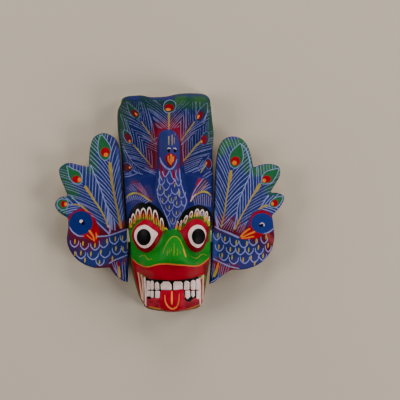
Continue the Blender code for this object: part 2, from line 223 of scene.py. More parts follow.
class Brushwork:
    """All the paint on one piece."""

    def __init__(self, piece, ground):
        self.piece = piece
        self.place = points_of(piece) / MM
        self.facing = facing_of(piece)
        self.x = self.place[:, 0] + (self.place[:, 2] - SIGHT_HEIGHT) * SIGHT_SLOPE
        self.y = self.place[:, 1]
        self.coats = {name: np.full(len(self.x), NO_PAINT) for name in COATS}
        self.ground = np.tile(mixed(ground), (len(self.x), 1))
        self.count = 0

    def near(self, line, margin):
        (x0, y0), (x1, y1) = line.min(0) - margin, line.max(0) + margin
        return np.flatnonzero((self.x > x0) & (self.x < x1) & (self.y > y0) & (self.y < y1))

    def distance(self, line, widths, margin):
        """Half width less distance, for the points near a line. Widths run along it."""
        near = self.near(line, margin)
        x, y = self.x[near], self.y[near]
        field = np.full(len(near), FAR)
        for (ax, ay), (bx, by), wa, wb in zip(line, line[1:], widths, widths[1:]):
            dx, dy = bx - ax, by - ay
            t = np.clip(((x - ax) * dx + (y - ay) * dy) / (dx * dx + dy * dy + 1e-9), 0, 1)
            off = np.hypot(x - ax - t * dx, y - ay - t * dy)
            np.maximum(field, wa + (wb - wa) * t - off, out=field)
        return near, field

    def stroke(self, coat, points, widths, within=None, closed=False):
        """One pull of the brush. Widths are half widths in mm at the given points."""
        line = curve(points, closed)
        widths = np.atleast_1d(np.asarray(widths, dtype=float))
        along = np.linspace(0, 1, len(line))
        half = np.interp(along, np.linspace(0, 1, len(widths)), widths)
        near, field = self.distance(line, half, half.max() + STROKE_MARGIN)
        if within is not None:
            field = np.minimum(field, within[near])
        self.coats[coat][near] = np.maximum(self.coats[coat][near], field)
        self.count += 1

    def strokes(self, rows):
        """Many pulls, each (coat, points, widths)."""
        for coat, points, widths in rows:
            self.stroke(coat, points, widths)

    def trace(self, points, half):
        """The distance of one even stroke, for every point of the piece."""
        line = curve(points)
        near, field = self.distance(line, np.full(len(line), half), half + TRACE_MARGIN)
        whole = np.full(len(self.x), NO_PAINT)
        whole[near] = np.maximum(field, NO_PAINT)
        return whole

    def region(self, points, rounded=True):
        """Distance to a closed outline for every point of the piece, positive inside."""
        line = curve(points, closed=True) if rounded else np.asarray(points + points[:1], float)
        near, off = self.distance(line, np.zeros(len(line)), REGION_MARGIN)
        off = np.maximum(off, NO_PAINT)
        field = np.full(len(self.x), NO_PAINT)
        x, y = self.x[near], self.y[near]
        inside = np.zeros(len(near), dtype=bool)
        for (ax, ay), (bx, by) in zip(line, line[1:]):
            if ay != by:
                inside ^= ((ay > y) != (by > y)) & (x < (bx - ax) * (y - ay) / (by - ay) + ax)
        field[near] = np.where(inside, -off, off)
        return field

    def oval(self, centre, size, turn=0):
        """The same distance for an oval of two half widths, turned in degrees."""
        c, s = math.cos(math.radians(turn)), math.sin(math.radians(turn))
        dx, dy = self.x - centre[0], self.y - centre[1]
        across = np.hypot((dx * c + dy * s) / size[0], (dy * c - dx * s) / size[1])
        return np.clip((1 - across) * min(size), NO_PAINT, None)

    def fill(self, coat, field):
        """Lays a coat where a field is positive."""
        self.coats[coat] = np.maximum(self.coats[coat], field)
        self.count += 1

    def wipe(self, coats, field):
        """Takes coats, named with spaces between, off where a field is positive."""
        for coat in coats.split():
            self.coats[coat] = np.minimum(self.coats[coat], -field)

    def flood(self, colour, field, soft=0.4):
        """Repaints the ground where a field is positive."""
        weight = smooth(field / soft + 0.5)[:, None]
        self.ground = self.ground * (1 - weight) + mixed(colour) * weight

    def tint(self, colour, points, radius, amount):
        """Works a colour into the wet ground along a line."""
        line = np.asarray(points, float)
        near, off = self.distance(line, np.zeros(len(line)), radius * TINT_REACH)
        ragged = np.array([
            noise.noise((x * RAGGED_SCALE, y * RAGGED_SCALE, RAGGED_SLICE))
            for x, y in zip(self.x[near], self.y[near])])
        weight = amount * smooth(TINT_CORE + off / radius + RAGGED_SHARE * ragged)[:, None]
        self.ground[near] = self.ground[near] * (1 - weight) + mixed(colour) * weight

    def tints(self, rows):
        """Many tints, each (colour, points, radius, amount)."""
        for colour, points, radius, amount in rows:
            self.tint(colour, points, radius, amount)


print(len(COATS), "coats:", ", ".join(COATS))

# %% [markdown]
# ## How a peacock feather is painted
#
# Each tail feather has a tapering shaft, pale barbs that sweep off it on both sides, and an
# eye: a green teardrop with a pale outline, a red spot and a dab of orange. The barbs keep
# an even space between them, so they are stepped along the spine by the space divided by
# the sine of the angle at which they leave it, and an outline of the feather's lobe stops
# them. The bird's breast is covered by pale U strokes, each with a drop of yellow in it.

# %% Feathers and scales
SHAKE = 0.025
BARB_START = 0.7
BARB_BOW = 0.03
BARB_TAPER = (1.08, 0.4)
LENGTHS = (0.9, 1.05)
WIDTHS = (0.85, 1.15)
SPACES = (0.92, 1.08)
CLEAR = 0.3
HEART_EDGE = 0.4
SCALE_PATH = ((-1, 6.6), (-0.86, 2.9), (0, 0), (0.86, 2.9), (1, 6.2))
SCALE_SWELL = (0.6, 1, 1.15, 1, 0.6)
DROP_PATH = ((0, 2.1), (-0.1, 0), (-0.3, -2.0))
DROP_SWELL = (0.6, 1, 0.6)


def unit(v):
    v = np.asarray(v, float)
    return v / np.hypot(*v)


def barbs(work, half, coat, spine, sweep, space, length, lobe, skip=0.0):
    """Fine strokes off one side of a spine. Sweep is their direction at root and at tip."""
    line = curve(spine, steps=8)
    run = np.concatenate(([0], np.cumsum(np.hypot(*np.diff(line, axis=0).T))))
    at = skip
    while at < run[-1]:
        t = at / run[-1]
        start = np.array([np.interp(at, run, line[:, k]) for k in (0, 1)])
        ahead = np.array([np.interp(at + 1, run, line[:, k]) for k in (0, 1)])
        along = unit(ahead - start) if at + 1 < run[-1] else unit(line[-1] - line[-3])
        out = unit(unit(sweep[0]) * (1 - t) + unit(sweep[1]) * t)
        out = unit(out + rng.normal(0, SHAKE, 2))
        sine = abs(along[0] * out[1] - along[1] * out[0])
        reach = length * rng.uniform(*LENGTHS)
        bow = BARB_BOW * length * np.array((-out[1], out[0])) * (1 if out[0] > 0 else -1)
        path = [start + out * BARB_START, start + out * reach * 0.5 + bow, start + out * reach]
        width = half * (BARB_TAPER[0] - BARB_TAPER[1] * t) * rng.uniform(*WIDTHS)
        work.stroke(coat, path, (width * 0.8, width, width * 0.8), lobe)
        at += space / max(sine, 0.3) * rng.uniform(*SPACES)


def eye_spot(work, outline, red, orange, ring=0.36, leaf=True, heart=None):
    """The eye of a feather. Red and orange are ovals; heart is a red laid on the ground."""
    drop = work.region(outline)
    work.wipe("mist pale", drop + CLEAR)
    if leaf:
        work.fill("leaf", drop)
    work.stroke("pale", outline, ring, closed=True)
    spot = work.oval(*red)
    work.wipe("pale", spot)
    if heart is None:
        work.fill("red", spot)
    else:
        work.flood(heart, spot + HEART_EDGE)
        work.fill("scarlet", spot)
    spot = work.oval(*orange)
    work.wipe("pale", spot)
    work.fill("orange", spot)


def scales(work, rows, half=0.5, drop=0.75):
    """U strokes, each (x and y of its lowest point, half width, x and y of its drop)."""
    for x, y, wide, drop_x, drop_y in rows:
        w = wide * rng.uniform(0.95, 1.05)
        if wide > 0:
            work.stroke("pale", [(x + side * w, y + up) for side, up in SCALE_PATH],
                        [half * swell for swell in SCALE_SWELL])
        if drop_y is not None:
            work.stroke("yellow", [(drop_x + side, drop_y + up) for side, up in DROP_PATH],
                        [drop * swell for swell in DROP_SWELL])


def fringe(work, coat, top, sag, widths, rows):
    """Strokes that hang from one height, each (x at the top, x at the foot, height of it)."""
    for x0, x1, low in rows:
        work.stroke(coat, [(x0, top), ((x0 + x1) / 2, (low + top - sag) / 2), (x1, low)], widths)


print("marks a brush can make here: stroke, barbs, eye spot, scales, fringe")

# %% [markdown]
# ## The left board
#
# Three feathers fan out over a blue head that looks back at the mask. The ground is laid
# first: blue, with green worked into the feather tips and dark red near the roots. The
# strokes then go on from the feathers down to the tail.

# %% The palette
BLUE = pigment(36, 47, 102)
DEEP_BLUE = pigment(16, 36, 104)
VIOLET = pigment(58, 50, 118)
MOSS = pigment(34, 82, 52)
FERN = pigment(48, 104, 48)
MAROON = pigment(88, 14, 30)
PLUM = pigment(52, 24, 66)
NIGHT = pigment(6, 10, 24)
COMB_PLUM = pigment(122, 22, 58)
FACE_GREEN = pigment(22, 122, 28)
LID_GREEN = pigment(52, 80, 14)
LIP_RED = pigment(152, 4, 34)
WOOD = pigment(204, 188, 160)
print("the blue of the ground, linear:", BLUE.round(3))

# %% Ground of the left board
left = Brushwork(left_board, BLUE)
left.tints((
    (MOSS, [(-79, 36), (-81, 50), (-76, 61), (-70, 68)], 9, 0.95),
    ((44, 50, 88), [(-62, 66), (-54, 58)], 6, 0.7),
    # Painted light: a paler blue down the inner edge, where the mask shades the board.
    ((66, 82, 148), [(-51, 52), (-50, 20), (-47, -16)], 3.6, 0.75),
    (MOSS, [(-103, 34), (-107, 25), (-102, 12), (-97, 9)], 8, 0.95),
    (VIOLET, [(-100, 38), (-84, 35.5)], 3, 0.6),
    (MOSS, [(-111, 2), (-111, -5), (-106, -9)], 5, 0.95),
    (MAROON, [(-74, -27), (-66, -31), (-56, -27), (-45, -23)], 5.5, 0.95),
    (MAROON, [(-101, -29), (-95, -38), (-84, -41), (-74, -38)], 9, 0.9),
    (PLUM, [(-103, -36), (-98, -48), (-93, -52)], 6, 0.8),
    (MAROON, [(-72, -65), (-58, -64)], 3, 0.8),
    ((78, 20, 34), [(-57, -61), (-52, -72)], 7, 0.85),
    ((14, 22, 66), [(-45, -67), (-45, -76)], 2.6, 0.9),
    ((104, 50, 70), [(-45, -57), (-46, -61)], 2.6, 0.8),
    # Painted light: a paler red at the foot of the inner edge, in the mask's shade.
    ((124, 52, 66), [(-50, -23), (-44, -20)], 3, 0.8)))
left.flood(DEEP_BLUE, left.oval((-89, -20.3), (11.8, 11.9)))
print("left board: ground laid on", len(left.x), "points")

# %% Feathers of the left board
FINE = 0.4
FAN_SEAM = [
    (-79, 36.5), (-75, 26.5), (-72, 19.5), (-69, 12.5), (-66, 3.5), (-63, -4.5), (-60.5, -13.5),
    (-60, -29.5)]
LOW_SEAM = [
    (-99, 6.5), (-92, -0.5), (-86, -6.5), (-80, -11.5), (-74, -18.5), (-67, -25.5), (-61, -31)]
tall = left.region(FAN_SEAM + [(-44, -28), (-38, 0), (-38, 76), (-88, 76), (-88, 40)], False)
wide = left.region(
    FAN_SEAM + LOW_SEAM[::-1] + [(-106, 4), (-114, 10), (-114, 42), (-84, 42)], False)
short = left.region(
    [(-100, 8)] + LOW_SEAM[1:3] + [(-91, -8), (-96, -9.5), (-101, -14), (-104, -19), (-118, -10),
                                   (-118, 8)], False)
TALL_SHAFT = [
    (-49.2, -24.5), (-50.6, -17.5), (-52.5, -7.5), (-54.8, 2.5), (-56.6, 12.5), (-58.4, 22.5),
    (-59.6, 34.5), (-60.4, 40)]
WIDE_SHAFT = [(-62, -22.5), (-66, -13.5), (-70.5, -5.5), (-76, 2.5), (-80, 9), (-84.5, 15.5)]
LOW_TIP = [(-97, -1.5), (-110, -1.5)]
LEFT_BARBS = (
    ("pale", TALL_SHAFT + [(-65, 50), (-69, 67)], ((-1, 1.1), (-0.8, 1)), 2.8, 34, tall),
    ("pale", TALL_SHAFT + [(-63, 50), (-69, 67)], ((0.35, 1), (0.2, 1)), 2.9, 26, tall, 1),
    ("pale", WIDE_SHAFT + [(-93, 25), (-102, 35)], ((0.0, 1), (-0.05, 1)), 3.0, 50, wide),
    ("mist", WIDE_SHAFT + [(-94, 23), (-103, 34)], ((-1, 0.5), (-1, 0.18)), 3.0, 40, wide),
    ("pale", [(-82, -9), (-88, -3.5), *LOW_TIP], ((-1, 0.8), (-1, 0.9)), 2.6, 12, short),
    ("pale", [(-84, -8), (-90, -3.5), *LOW_TIP], ((-1, -0.2), (-1, -0.35)), 2.6, 22, short))
for row in LEFT_BARBS:
    barbs(left, FINE, *row)
left.strokes((
    ("pale", FAN_SEAM, (0.45, 0.5, 0.5, 0.6, 0.8, 0.9)),
    ("pale", LOW_SEAM, (0.4, 0.5, 0.5, 0.6, 0.8)),
    ("pale", [(-62, -3.5), (-62.6, -12), (-63, -21)], (0.4, 0.8, 0.7)),
    ("pale", [(-59, -12), (-58.2, -19), (-58, -27)], (0.4, 0.8, 0.7)),
    ("pale", [(-56.5, -15.5), (-55.5, -21), (-55, -27.5)], (0.4, 0.8, 0.7))))
eye_spot(
    left, [(-69, 67.5), (-71.7, 60.5), (-72, 52.5), (-70, 45.5), (-65, 42), (-60.5, 45.5),
           (-59, 52), (-60.5, 57.5), (-65, 64)],
    ((-64.8, 50.3), (4.5, 4.7)), ((-64, 47.6), (2.2, 2.1)))
eye_spot(
    left, [(-103, 36.5), (-102, 31.5), (-101, 25.5), (-98.5, 21.5), (-95, 19), (-90, 18.5),
           (-88, 22.5), (-89, 28.5), (-92, 31.5), (-97, 33.5)],
    ((-94, 23.3), (4.0, 3.6)), ((-90.5, 22.8), (1.9, 2.2)))
eye_spot(
    left, [(-102, 1.5), (-106, 3.5), (-111, 2.5), (-113, -1.5), (-111, -5.5), (-107, -7.5),
           (-103, -5.5)],
    ((-106.7, -1.5), (2.4, 3.4)), ((-104.2, -1.7), (1.7, 1.8)), 0.3)
left.strokes((
    ("ochre", TALL_SHAFT, (1.2, 1.3, 1.0, 1.0, 1.1, 1.3, 2.0, 1.0)),
    ("ochre", WIDE_SHAFT, (0.7, 0.8, 0.9, 0.9, 1.3, 1.5)),
    ("tan", TALL_SHAFT[1:5], (0.3, 0.6, 0.5, 0.2)),
    ("tan", WIDE_SHAFT[1:5], (0.3, 0.5, 0.5, 0.2)),
    ("tan", [(-61.6, -24), (-64, -18.5)], (1.1, 0.6)),
    ("tan", [(-48.9, -25), (-50.2, -19.5)], (1.1, 0.6)),
    ("orange", [(-49.4, -23.5), (-50.4, -18)], (0.6, 0.3)),
    ("ochre", [(-83, -8.5), (-88, -3.8), (-92, -2.3), (-97, -1.7)], (0.7, 0.9, 0.8, 0.5)),
    ("pale", [(-97, -1.7), (-102, -2)], (0.5, 0.4))))
print("left board:", left.count, "strokes in its feathers")

# %% Bird of the left board
head = left.oval((-89, -20.3), (11.8, 11.9))
comb = left.region([
    (-103, -19), (-101, -13.5), (-97, -9.5), (-92, -6.6), (-87, -5.9), (-82, -7.5), (-77, -12.5),
    (-73.5, -19.5), (-71, -27.5), (-71.5, -34.5), (-74, -41), (-80, -37), (-87, -35), (-90, -30),
    (-90, -18)])
left.wipe("pale", np.minimum(comb, -head) + CLEAR)
left.flood(COMB_PLUM, np.minimum(comb, -head))
left.fill("red", comb - 1.6 * smooth((left.y + 24) / 14))
left.wipe("red pale", head)
left.strokes((
    ("orange", [(-80.5, -28.5), (-77, -33.5), (-75.5, -38.5)], (1.1, 0.8, 0.4)),
    ("orange", [(-83, -32.5), (-79, -36), (-76, -38)], (0.5, 0.5, 0.3)),
    ("orange", [(-74, -30.5), (-73.5, -33), (-74, -36.5)], (0.4, 0.7, 0.4)),
    ("pale", [(-100.5, -24.5), (-98, -28.5), (-94, -32), (-90, -33.6), (-86, -33.6)],
     (0.4, 0.65, 0.7, 0.65, 0.3)),
    ("pale", [(-73, -34), (-65, -33.6), (-60, -32.6), (-52, -30), (-44, -27)], 0.65),
    ("pale", [(-60.5, -60.5), (-55, -57.5), (-50, -55.5), (-43, -52.5)], 0.6)))
left.fill("white", left.oval((-88.8, -18.8), (1.7, 1.7)))
left.fill("ink", left.oval((-87, -20.8), (1.7, 1.8)))
scales(left, (
    (-95.5, -44.5, 4.2, -95, -39), (-85.5, -47, 4.3, -87, -41), (-75, -47.5, 4.3, -75, -43),
    (-66.5, -45, 4.5, -63, -38.5), (-56, -41.5, 4.5, -54.5, -36.5), (-46, -39.5, 4.0, -47.5, -35.5),
    (-89, -56, 4.7, -89, -50.5), (-77, -57, 5.4, -79, -51.5), (-65, -55, 5.0, -69, -49.5),
    (-53.5, -52, 4.3, -54, -46), (-44.5, -50, 4.0, -47, -46.5), (0, 0, 0, -95, -51),
    (0, 0, 0, -85, -57.5), (-70, -63, 4.3, -70.5, -60), (0, 0, 0, -57.5, -56)))
fringe(left, "pale", -59.5, 0.5, (0.22, 0.34, 0.26), (
    (-58.4, -53.4, -70.5), (-55.8, -51.8, -74.5), (-53.4, -50.9, -77), (-48, -46.8, -77),
    (-45.4, -44.5, -78.5)))
left.strokes((
    ("red", [(-51.8, -58.5), (-51.4, -63), (-51, -67)], (0.6, 0.9, 0.6)),
    ("yellow", [(-51.2, -64), (-50.6, -69), (-50.2, -75)], (0.5, 1.0, 0.8)),
    ("orange", [(-50.7, -66), (-50.4, -70)], (0.3, 0.5, 0.3))))
print("left board:", left.count, "strokes")

# %% [markdown]
# ## The right board
#
# The same bird the other way round, drawn afresh by hand: its feathers are steeper, its
# head is smaller and its beak points down to the mask. So it gets its own points, not a
# mirrored copy of the left board's.

# %% Ground of the right board
right = Brushwork(right_board, BLUE)
right.tints((
    (FERN, [(55, 61), (51, 52)], 7, 0.9),
    (FERN, [(59, 60), (65, 58), (70, 61), (74, 57)], 5.5, 0.85),
    (VIOLET, [(57, 66), (66, 66.5)], 3.5, 0.8),
    (MOSS, [(75, 54), (77, 45), (77.5, 34)], 6.5, 0.95),
    (FERN, [(87, 31), (99, 35), (108, 30)], 6, 0.9),
    (MOSS, [(109, 27), (104, 17), (100, 13)], 6, 0.9),
    (MOSS, [(103, 7), (109, 7)], 4, 0.7),
    (MAROON, [(44, -22), (54, -25), (66, -29), (76, -28)], 6, 0.95),
    (VIOLET, [(66, -61), (80, -60), (92, -54)], 8, 0.55),
    # Painted light: a paler blue down the inner edge, where the mask shades the board.
    ((62, 80, 150), [(45, 44), (45, -14)], 3.6, 0.75),
    ((56, 78, 150), [(45, -34), (45, -54)], 3.6, 0.75),
    (MAROON, [(87, -35.5), (97, -36), (101, -33), (100, -46)], 7.5, 0.95),
    ((116, 26, 40), [(47, -61.5), (53, -68), (64, -67)], 6.5, 0.95),
    ((20, 28, 78), [(42, -72), (44, -78)], 3.5, 0.85),
    ((104, 26, 48), [(52, -18), (62, -20), (70, -26)], 7, 0.8),
    ((140, 54, 58), [(98, -33), (102, -38)], 3.5, 0.8),
    (PLUM, [(83, -38), (92, -42)], 5, 0.6)))
right.flood((30, 46, 116), right.oval((92.1, -20.7), (11, 10.3)))
print("right board: ground laid on", len(right.x), "points")

# %% Feathers of the right board
FAN_SEAM_R = [
    (80.5, 37.5), (80, 27.5), (77, 20.5), (73.5, 12.5), (71, 6.5), (69, 0.5), (67.5, -7.5),
    (66, -17.5), (64, -26)]
LOW_SEAM_R = [(101, 11.5), (99, 7.5), (96, 3.5), (93, -1.5), (90, -6.5)]
tall = right.region(FAN_SEAM_R + [(50, -27), (40, -20), (40, 72), (86, 72), (86, 42)], False)
wide = right.region(
    FAN_SEAM_R + [(72, -29), (78, -25), (79, -16.5), (83, -9.5)] + LOW_SEAM_R[::-1]
    + [(112, 12), (118, 42), (84, 42)], False)
short = right.region(
    [(101, 12)] + LOW_SEAM_R[2:] + [(97, -9), (103, -13.5), (118, -8), (118, 12)], False)
TALL_SHAFT_R = [
    (51.5, -25), (53, -17.5), (55, -7.5), (56.5, 3.5), (57.5, 9.5), (58.5, 15.5), (59.3, 20.5),
    (60.5, 26.5), (61, 31)]
WIDE_SHAFT_R = [
    (65, -27), (67.5, -21.5), (71, -14.5), (75, -7.5), (79, -0.5), (82, 5.5), (85.5, 10.5),
    (88, 14.5), (89.8, 18)]
LOW_SHAFT_R = [(94, -3.8), (98, -3)]
RIGHT_BARBS = (
    ("pale", TALL_SHAFT_R + [(63, 44), (70, 58)], ((-1, 1.7), (-0.7, 1.6)), 2.8, 36, tall),
    ("pale", TALL_SHAFT_R + [(67, 43), (71, 58)], ((1, 0.95), (1, 1.1)), 2.8, 34, tall, 1),
    ("pale", WIDE_SHAFT_R + [(97, 25), (108, 33)], ((-0.05, 1), (-0.15, 1)), 3.0, 44, wide),
    ("mist", WIDE_SHAFT_R + [(98, 23), (108, 32)], ((1, 0.55), (1, 0.45)), 2.9, 34, wide),
    ("pale", [(89, -6), *LOW_SHAFT_R, (108, 2)], ((1, 1.25), (1, 0.7)), 2.4, 16, short),
    ("pale", [(91, -6), *LOW_SHAFT_R, (108, 0)], ((1, -0.35), (1, -0.1)), 2.5, 18, short))
for row in RIGHT_BARBS:
    barbs(right, FINE, *row)
right.strokes((
    ("pale", FAN_SEAM_R, (0.4, 0.5, 0.5, 0.5, 0.5, 0.6)),
    ("pale", LOW_SEAM_R[1:], (0.4, 0.6, 0.6, 0.5)),
    ("pale", [(71, 59), (76, 53.5), (79, 45.5), (80.5, 37.5)], (0.4, 0.6, 0.6, 0.5)),
    ("pale", [(44.5, -6), (46, -15), (48, -25)], (0.5, 1.0, 1.0))))
for foot, tip in (
        ((50.8, -24.5), (53.4, -17.5)), ((53.5, -26), (60, -16.6)), ((55.6, -26.8), (61.6, -17.6)),
        ((58, -27.6), (62.8, -18.6)), ((60.4, -28.4), (64, -19.8)), ((62.6, -29.2), (64.6, -23)),
        ((67, -29.5), (70.5, -22)), ((69, -30.5), (73, -21.5)), ((71.2, -30), (75.5, -20.5)),
        ((73.6, -28), (77, -19.5))):
    right.stroke("mist", [foot, tip], (0.28, 0.36))
eye_spot(
    right, [(70.5, 59), (66, 55.5), (62, 51.5), (60, 47.5), (59.3, 41.5), (61, 36.5), (65, 34.2),
            (69, 36.5), (72.3, 40.5), (73.5, 45.5), (73, 51.5), (72, 56)],
    ((65.5, 41.5), (4.7, 4.6)), ((64.6, 39.7), (2.3, 2.2)))
eye_spot(
    right, [(109, 34), (103, 33), (97, 31.2), (93.5, 28), (91.5, 22.5), (92, 19), (97, 18.5),
            (102, 20), (105.5, 24.5), (108, 30)],
    ((97, 23.5), (4.3, 3.6)), ((94.4, 22), (1.9, 1.9)))
eye_spot(
    right, [(113.5, 5), (111, -0.5), (107, -4.5), (102, -5), (99.5, -2), (101.5, 2), (106, 5),
            (110, 6)],
    ((105.3, -0.6), (3.0, 3.5)), ((102.8, -1.3), (1.4, 1.9)))
right.strokes((
    ("ochre", TALL_SHAFT_R, (0.6, 0.7, 0.7, 0.7, 0.8, 0.9, 1.5, 2.0, 1.4)),
    ("ochre", WIDE_SHAFT_R, (0.7, 0.9, 0.7, 0.6, 0.7, 0.8, 1.2, 1.9, 1.4)),
    ("ochre", [(89.5, -6.5), (94, -3.8), (97.5, -3)], (0.8, 1.1, 0.9)),
    ("tan", TALL_SHAFT_R[2:7], (0.3, 0.5, 0.4, 0.2)),
    ("tan", WIDE_SHAFT_R[1:8], (0.3, 0.6, 0.6, 0.6, 0.2))))
print("right board:", right.count, "strokes in its feathers")

# %% Bird of the right board
head = right.oval((92.1, -20.7), (11, 10.3))
comb = right.region([
    (79.4, -25), (79.4, -18.5), (81.6, -13.2), (85.4, -9.6), (90, -7.9), (94, -7.6), (99, -10),
    (102.2, -14), (100, -15.5), (92, -14), (86, -17), (84, -24)])
right.wipe("pale", comb + CLEAR)
right.flood(COMB_PLUM, np.minimum(comb, -head))
right.fill("red", comb - 0.9 - 0.8 * smooth((84.5 - right.x) / 4))
right.fill("red", right.region([
    (78, -25.5), (82, -23.5), (87, -28.5), (93, -31.5), (89, -35.5), (80, -37), (73, -37),
    (69.5, -35.3), (73, -30.5)]))
right.wipe("red", head)
right.wipe("pale", right.coats["red"] + CLEAR)
right.wipe("pale", head)
right.fill("ink", right.oval((91.2, -23.1), (1.9, 1.4)))
right.strokes((
    ("orange", [(80, -26.3), (75, -29.5), (71, -34)], (0.7, 1.0, 0.8)),
    ("orange", [(84.5, -29.5), (79, -31.7), (72, -35)], (1.0, 0.9, 0.7)),
    ("orange", [(84, -34), (77, -35.4), (72, -36)], (0.6, 0.7, 0.5)),
    ("pale", [(94, -31.3), (99, -29.8), (103.5, -26.5)], (0.4, 0.6, 0.5)),
    ("white", [(90.4, -21.4), (92.5, -20.5), (94.2, -21.6), (94.4, -23.4)], 0.4),
    ("pale", [(45, -24), (49, -26.5), (55, -29), (62, -32), (68.5, -35)], (0.5, 0.9, 0.9)),
    ("pale", [(43.5, -56.5), (52, -60.5), (60, -64), (69, -66.3)], 0.65)))
scales(right, (
    (47, -37.5, 3.5, 48.2, -33), (56, -41, 4.2, 55, -36.5), (64.5, -44, 4.2, 66.5, -40),
    (74, -45.3, 4.5, 77, -41), (83.5, -43, 4.2, 86.5, -38.5), (94.5, -41, 3.5, 96.5, -34.5),
    (49.5, -48.7, 4.2, 49, -44.5), (61, -51.5, 4.7, 60.5, -47), (70.5, -52.3, 4.5, 69, -48),
    (79.5, -52, 4.2, 79, -47.5), (89.5, -52, 4.2, 88.8, -45), (98.5, -49.5, 3.0, 98.5, -43),
    (54, -58, 4.7, 52.3, -53), (64, -61.5, 4.7, 62.3, -55), (75, -61, 4.7, 73.5, -57.5),
    (84.5, -60, 4.2, 81.5, -55.5), (0, 0, 0, 85, -61), (93, -58, 3.8, 93.5, -53.5)))
fringe(right, "mist", -61, 0, (0.25, 0.4, 0.3), (
    (43.4, 41.2, -74), (45, 42.4, -76), (50.6, 48, -75), (52.6, 50, -74), (54.8, 52, -73),
    (57.6, 54.4, -72), (60, 57.4, -70)))
right.strokes((
    ("pale", [(40.3, -80), (45, -77.5), (49, -75)], 0.4),
    ("orange", [(48.5, -60.5), (47.7, -64), (46.9, -67)], (0.6, 1.2, 1.0)),
    ("yellow", [(47.3, -65), (45.9, -69.5), (44.2, -73.5)], (0.8, 1.5, 1.2))))
print("right board:", right.count, "strokes")

# %% [markdown]
# ## The crown
#
# The crown is the peacock's raised tail: one upright feather over its head and three on
# each side. Their lobes share the space like the sectors of a fan, and the barbs meet at
# the seams. The ground is blue with green at the rim, and a red glow behind the head.

# %% Ground of the mask
face = Brushwork(mask, (24, 31, 94))
face.tints((
    ((20, 30, 78), [(-40, 60), (-20, 92), (0, 100), (20, 92), (38, 62)], 34, 0.9),
    # A paler violet band along the top edge: partly the paint of the edge, partly a painted
    # highlight where the rounded edge catches the light.
    (VIOLET, [(-50, 107), (40, 108)], 5.5, 0.55),
    ((54, 48, 106), [(-22, 14), (-17, 3)], 5, 0.6),
    ((20, 26, 84), [(-48, 50), (-30, 36)], 12, 0.5),
    ((26, 62, 44), [(-47, 101), (-48, 84), (-48, 62)], 8, 0.9),
    ((30, 52, 48), [(-46, 99), (-38, 92)], 10, 0.9),
    ((26, 34, 96), [(-46, 106.5), (-30, 107), (-27, 101)], 4, 0.8),
    ((16, 50, 42), [(-25, 100), (-8, 97)], 9, 0.85),
    ((30, 72, 44), [(8, 100), (22, 100), (34, 99)], 8.5, 0.9),
    ((52, 94, 36), [(8, 102), (13, 104)], 5, 0.5),
    ((52, 94, 36), [(26, 104), (33, 104)], 5, 0.5),
    ((44, 50, 112), [(-18, 106), (-5, 106)], 3.5, 0.7),
    ((52, 22, 56), [(6, 84), (14, 80), (17, 72)], 7.5, 0.85),
    ((14, 46, 48), [(-48, 64), (-48.5, 44)], 5, 0.85),
    ((32, 66, 50), [(38, 98), (42, 84), (41, 62)], 6, 0.9),
    (MAROON, [(-16, 38), (-16, 52), (-13, 68), (-8, 76), (0, 78), (8, 76), (11, 64), (12, 44)],
     7.5, 0.95),
    (MAROON, [(-17, 68), (-14, 77)], 4, 0.8),
    ((118, 10, 42), [(-12, 68), (-8, 73.5), (-1, 75), (7, 73), (11, 66)], 5, 0.75),
    ((96, 20, 40), [(-18, 38), (-19, 52), (-15, 62)], 6, 0.7),
    # Painted shade: near-black down both sides of the block, where the front turns away.
    (NIGHT, [(-49, 40), (-49, 20), (-47, -20)], 4.5, 0.9),
    (NIGHT, [(43, 44), (44, 20), (44, -20)], 3, 0.8)))

bird = face.region([
    (-11.5, 36), (-12.2, 50), (-12, 62.5), (-10, 69.5), (-5, 72.4), (1, 72.4), (6, 69), (9, 61.5),
    (10.2, 52), (10, 36), (11, 22.5), (14, 12.5), (17, 2), (16, -4.5), (8, -18), (2, -26.8),
    (-1, -24), (-4, -13.5), (-8, -3.5), (-12, 5.5), (-13, 12.5), (-11, 22.5)])
face.flood((42, 44, 110), bird, 1.2)
face.tints((
    ((22, 50, 90), [(-5, 68), (-5, 52)], 4, 0.6),
    ((52, 44, 112), [(-9, 60), (-9, 44)], 3, 0.5)))
print("mask: ground laid on", len(face.x), "points")

# %% Feathers of the crown
THIN = 0.36
TOP = [(-1, 73), (-1, 80), (-1, 88)]
UP_LEFT = [(-14.5, 61), (-18.5, 66), (-22.3, 71.5), (-25.8, 76.5), (-28.5, 81)]
OUT_LEFT = [(-17.5, 34.5), (-21, 39.5), (-27, 46.5), (-32, 52.5), (-37, 58)]
UP_RIGHT = [(11, 61.5), (16, 68.5), (20.3, 74.5), (24.5, 80.5)]
OUT_RIGHT = [(13.5, 41.5), (20, 49), (26, 56.5), (31, 61)]
LEFT_OF_TOP = [(-16, 82.5), (-20, 90.5), (-24, 98.5)]
RIGHT_OF_TOP = [(22, 101), (16, 93.5), (12, 85.5), (9, 75)]
LEFT_SEAM = [
    (-21, 52.5), (-24, 56.5), (-27, 61.5), (-32, 66.5), (-37, 72.5), (-41, 78.5), (-45, 84.5),
    (-54, 91)]
RIGHT_SEAM = [(10, 54), (14, 59.5), (21, 64.5), (27, 71.5), (33, 76.5), (39, 82.5), (48, 87)]
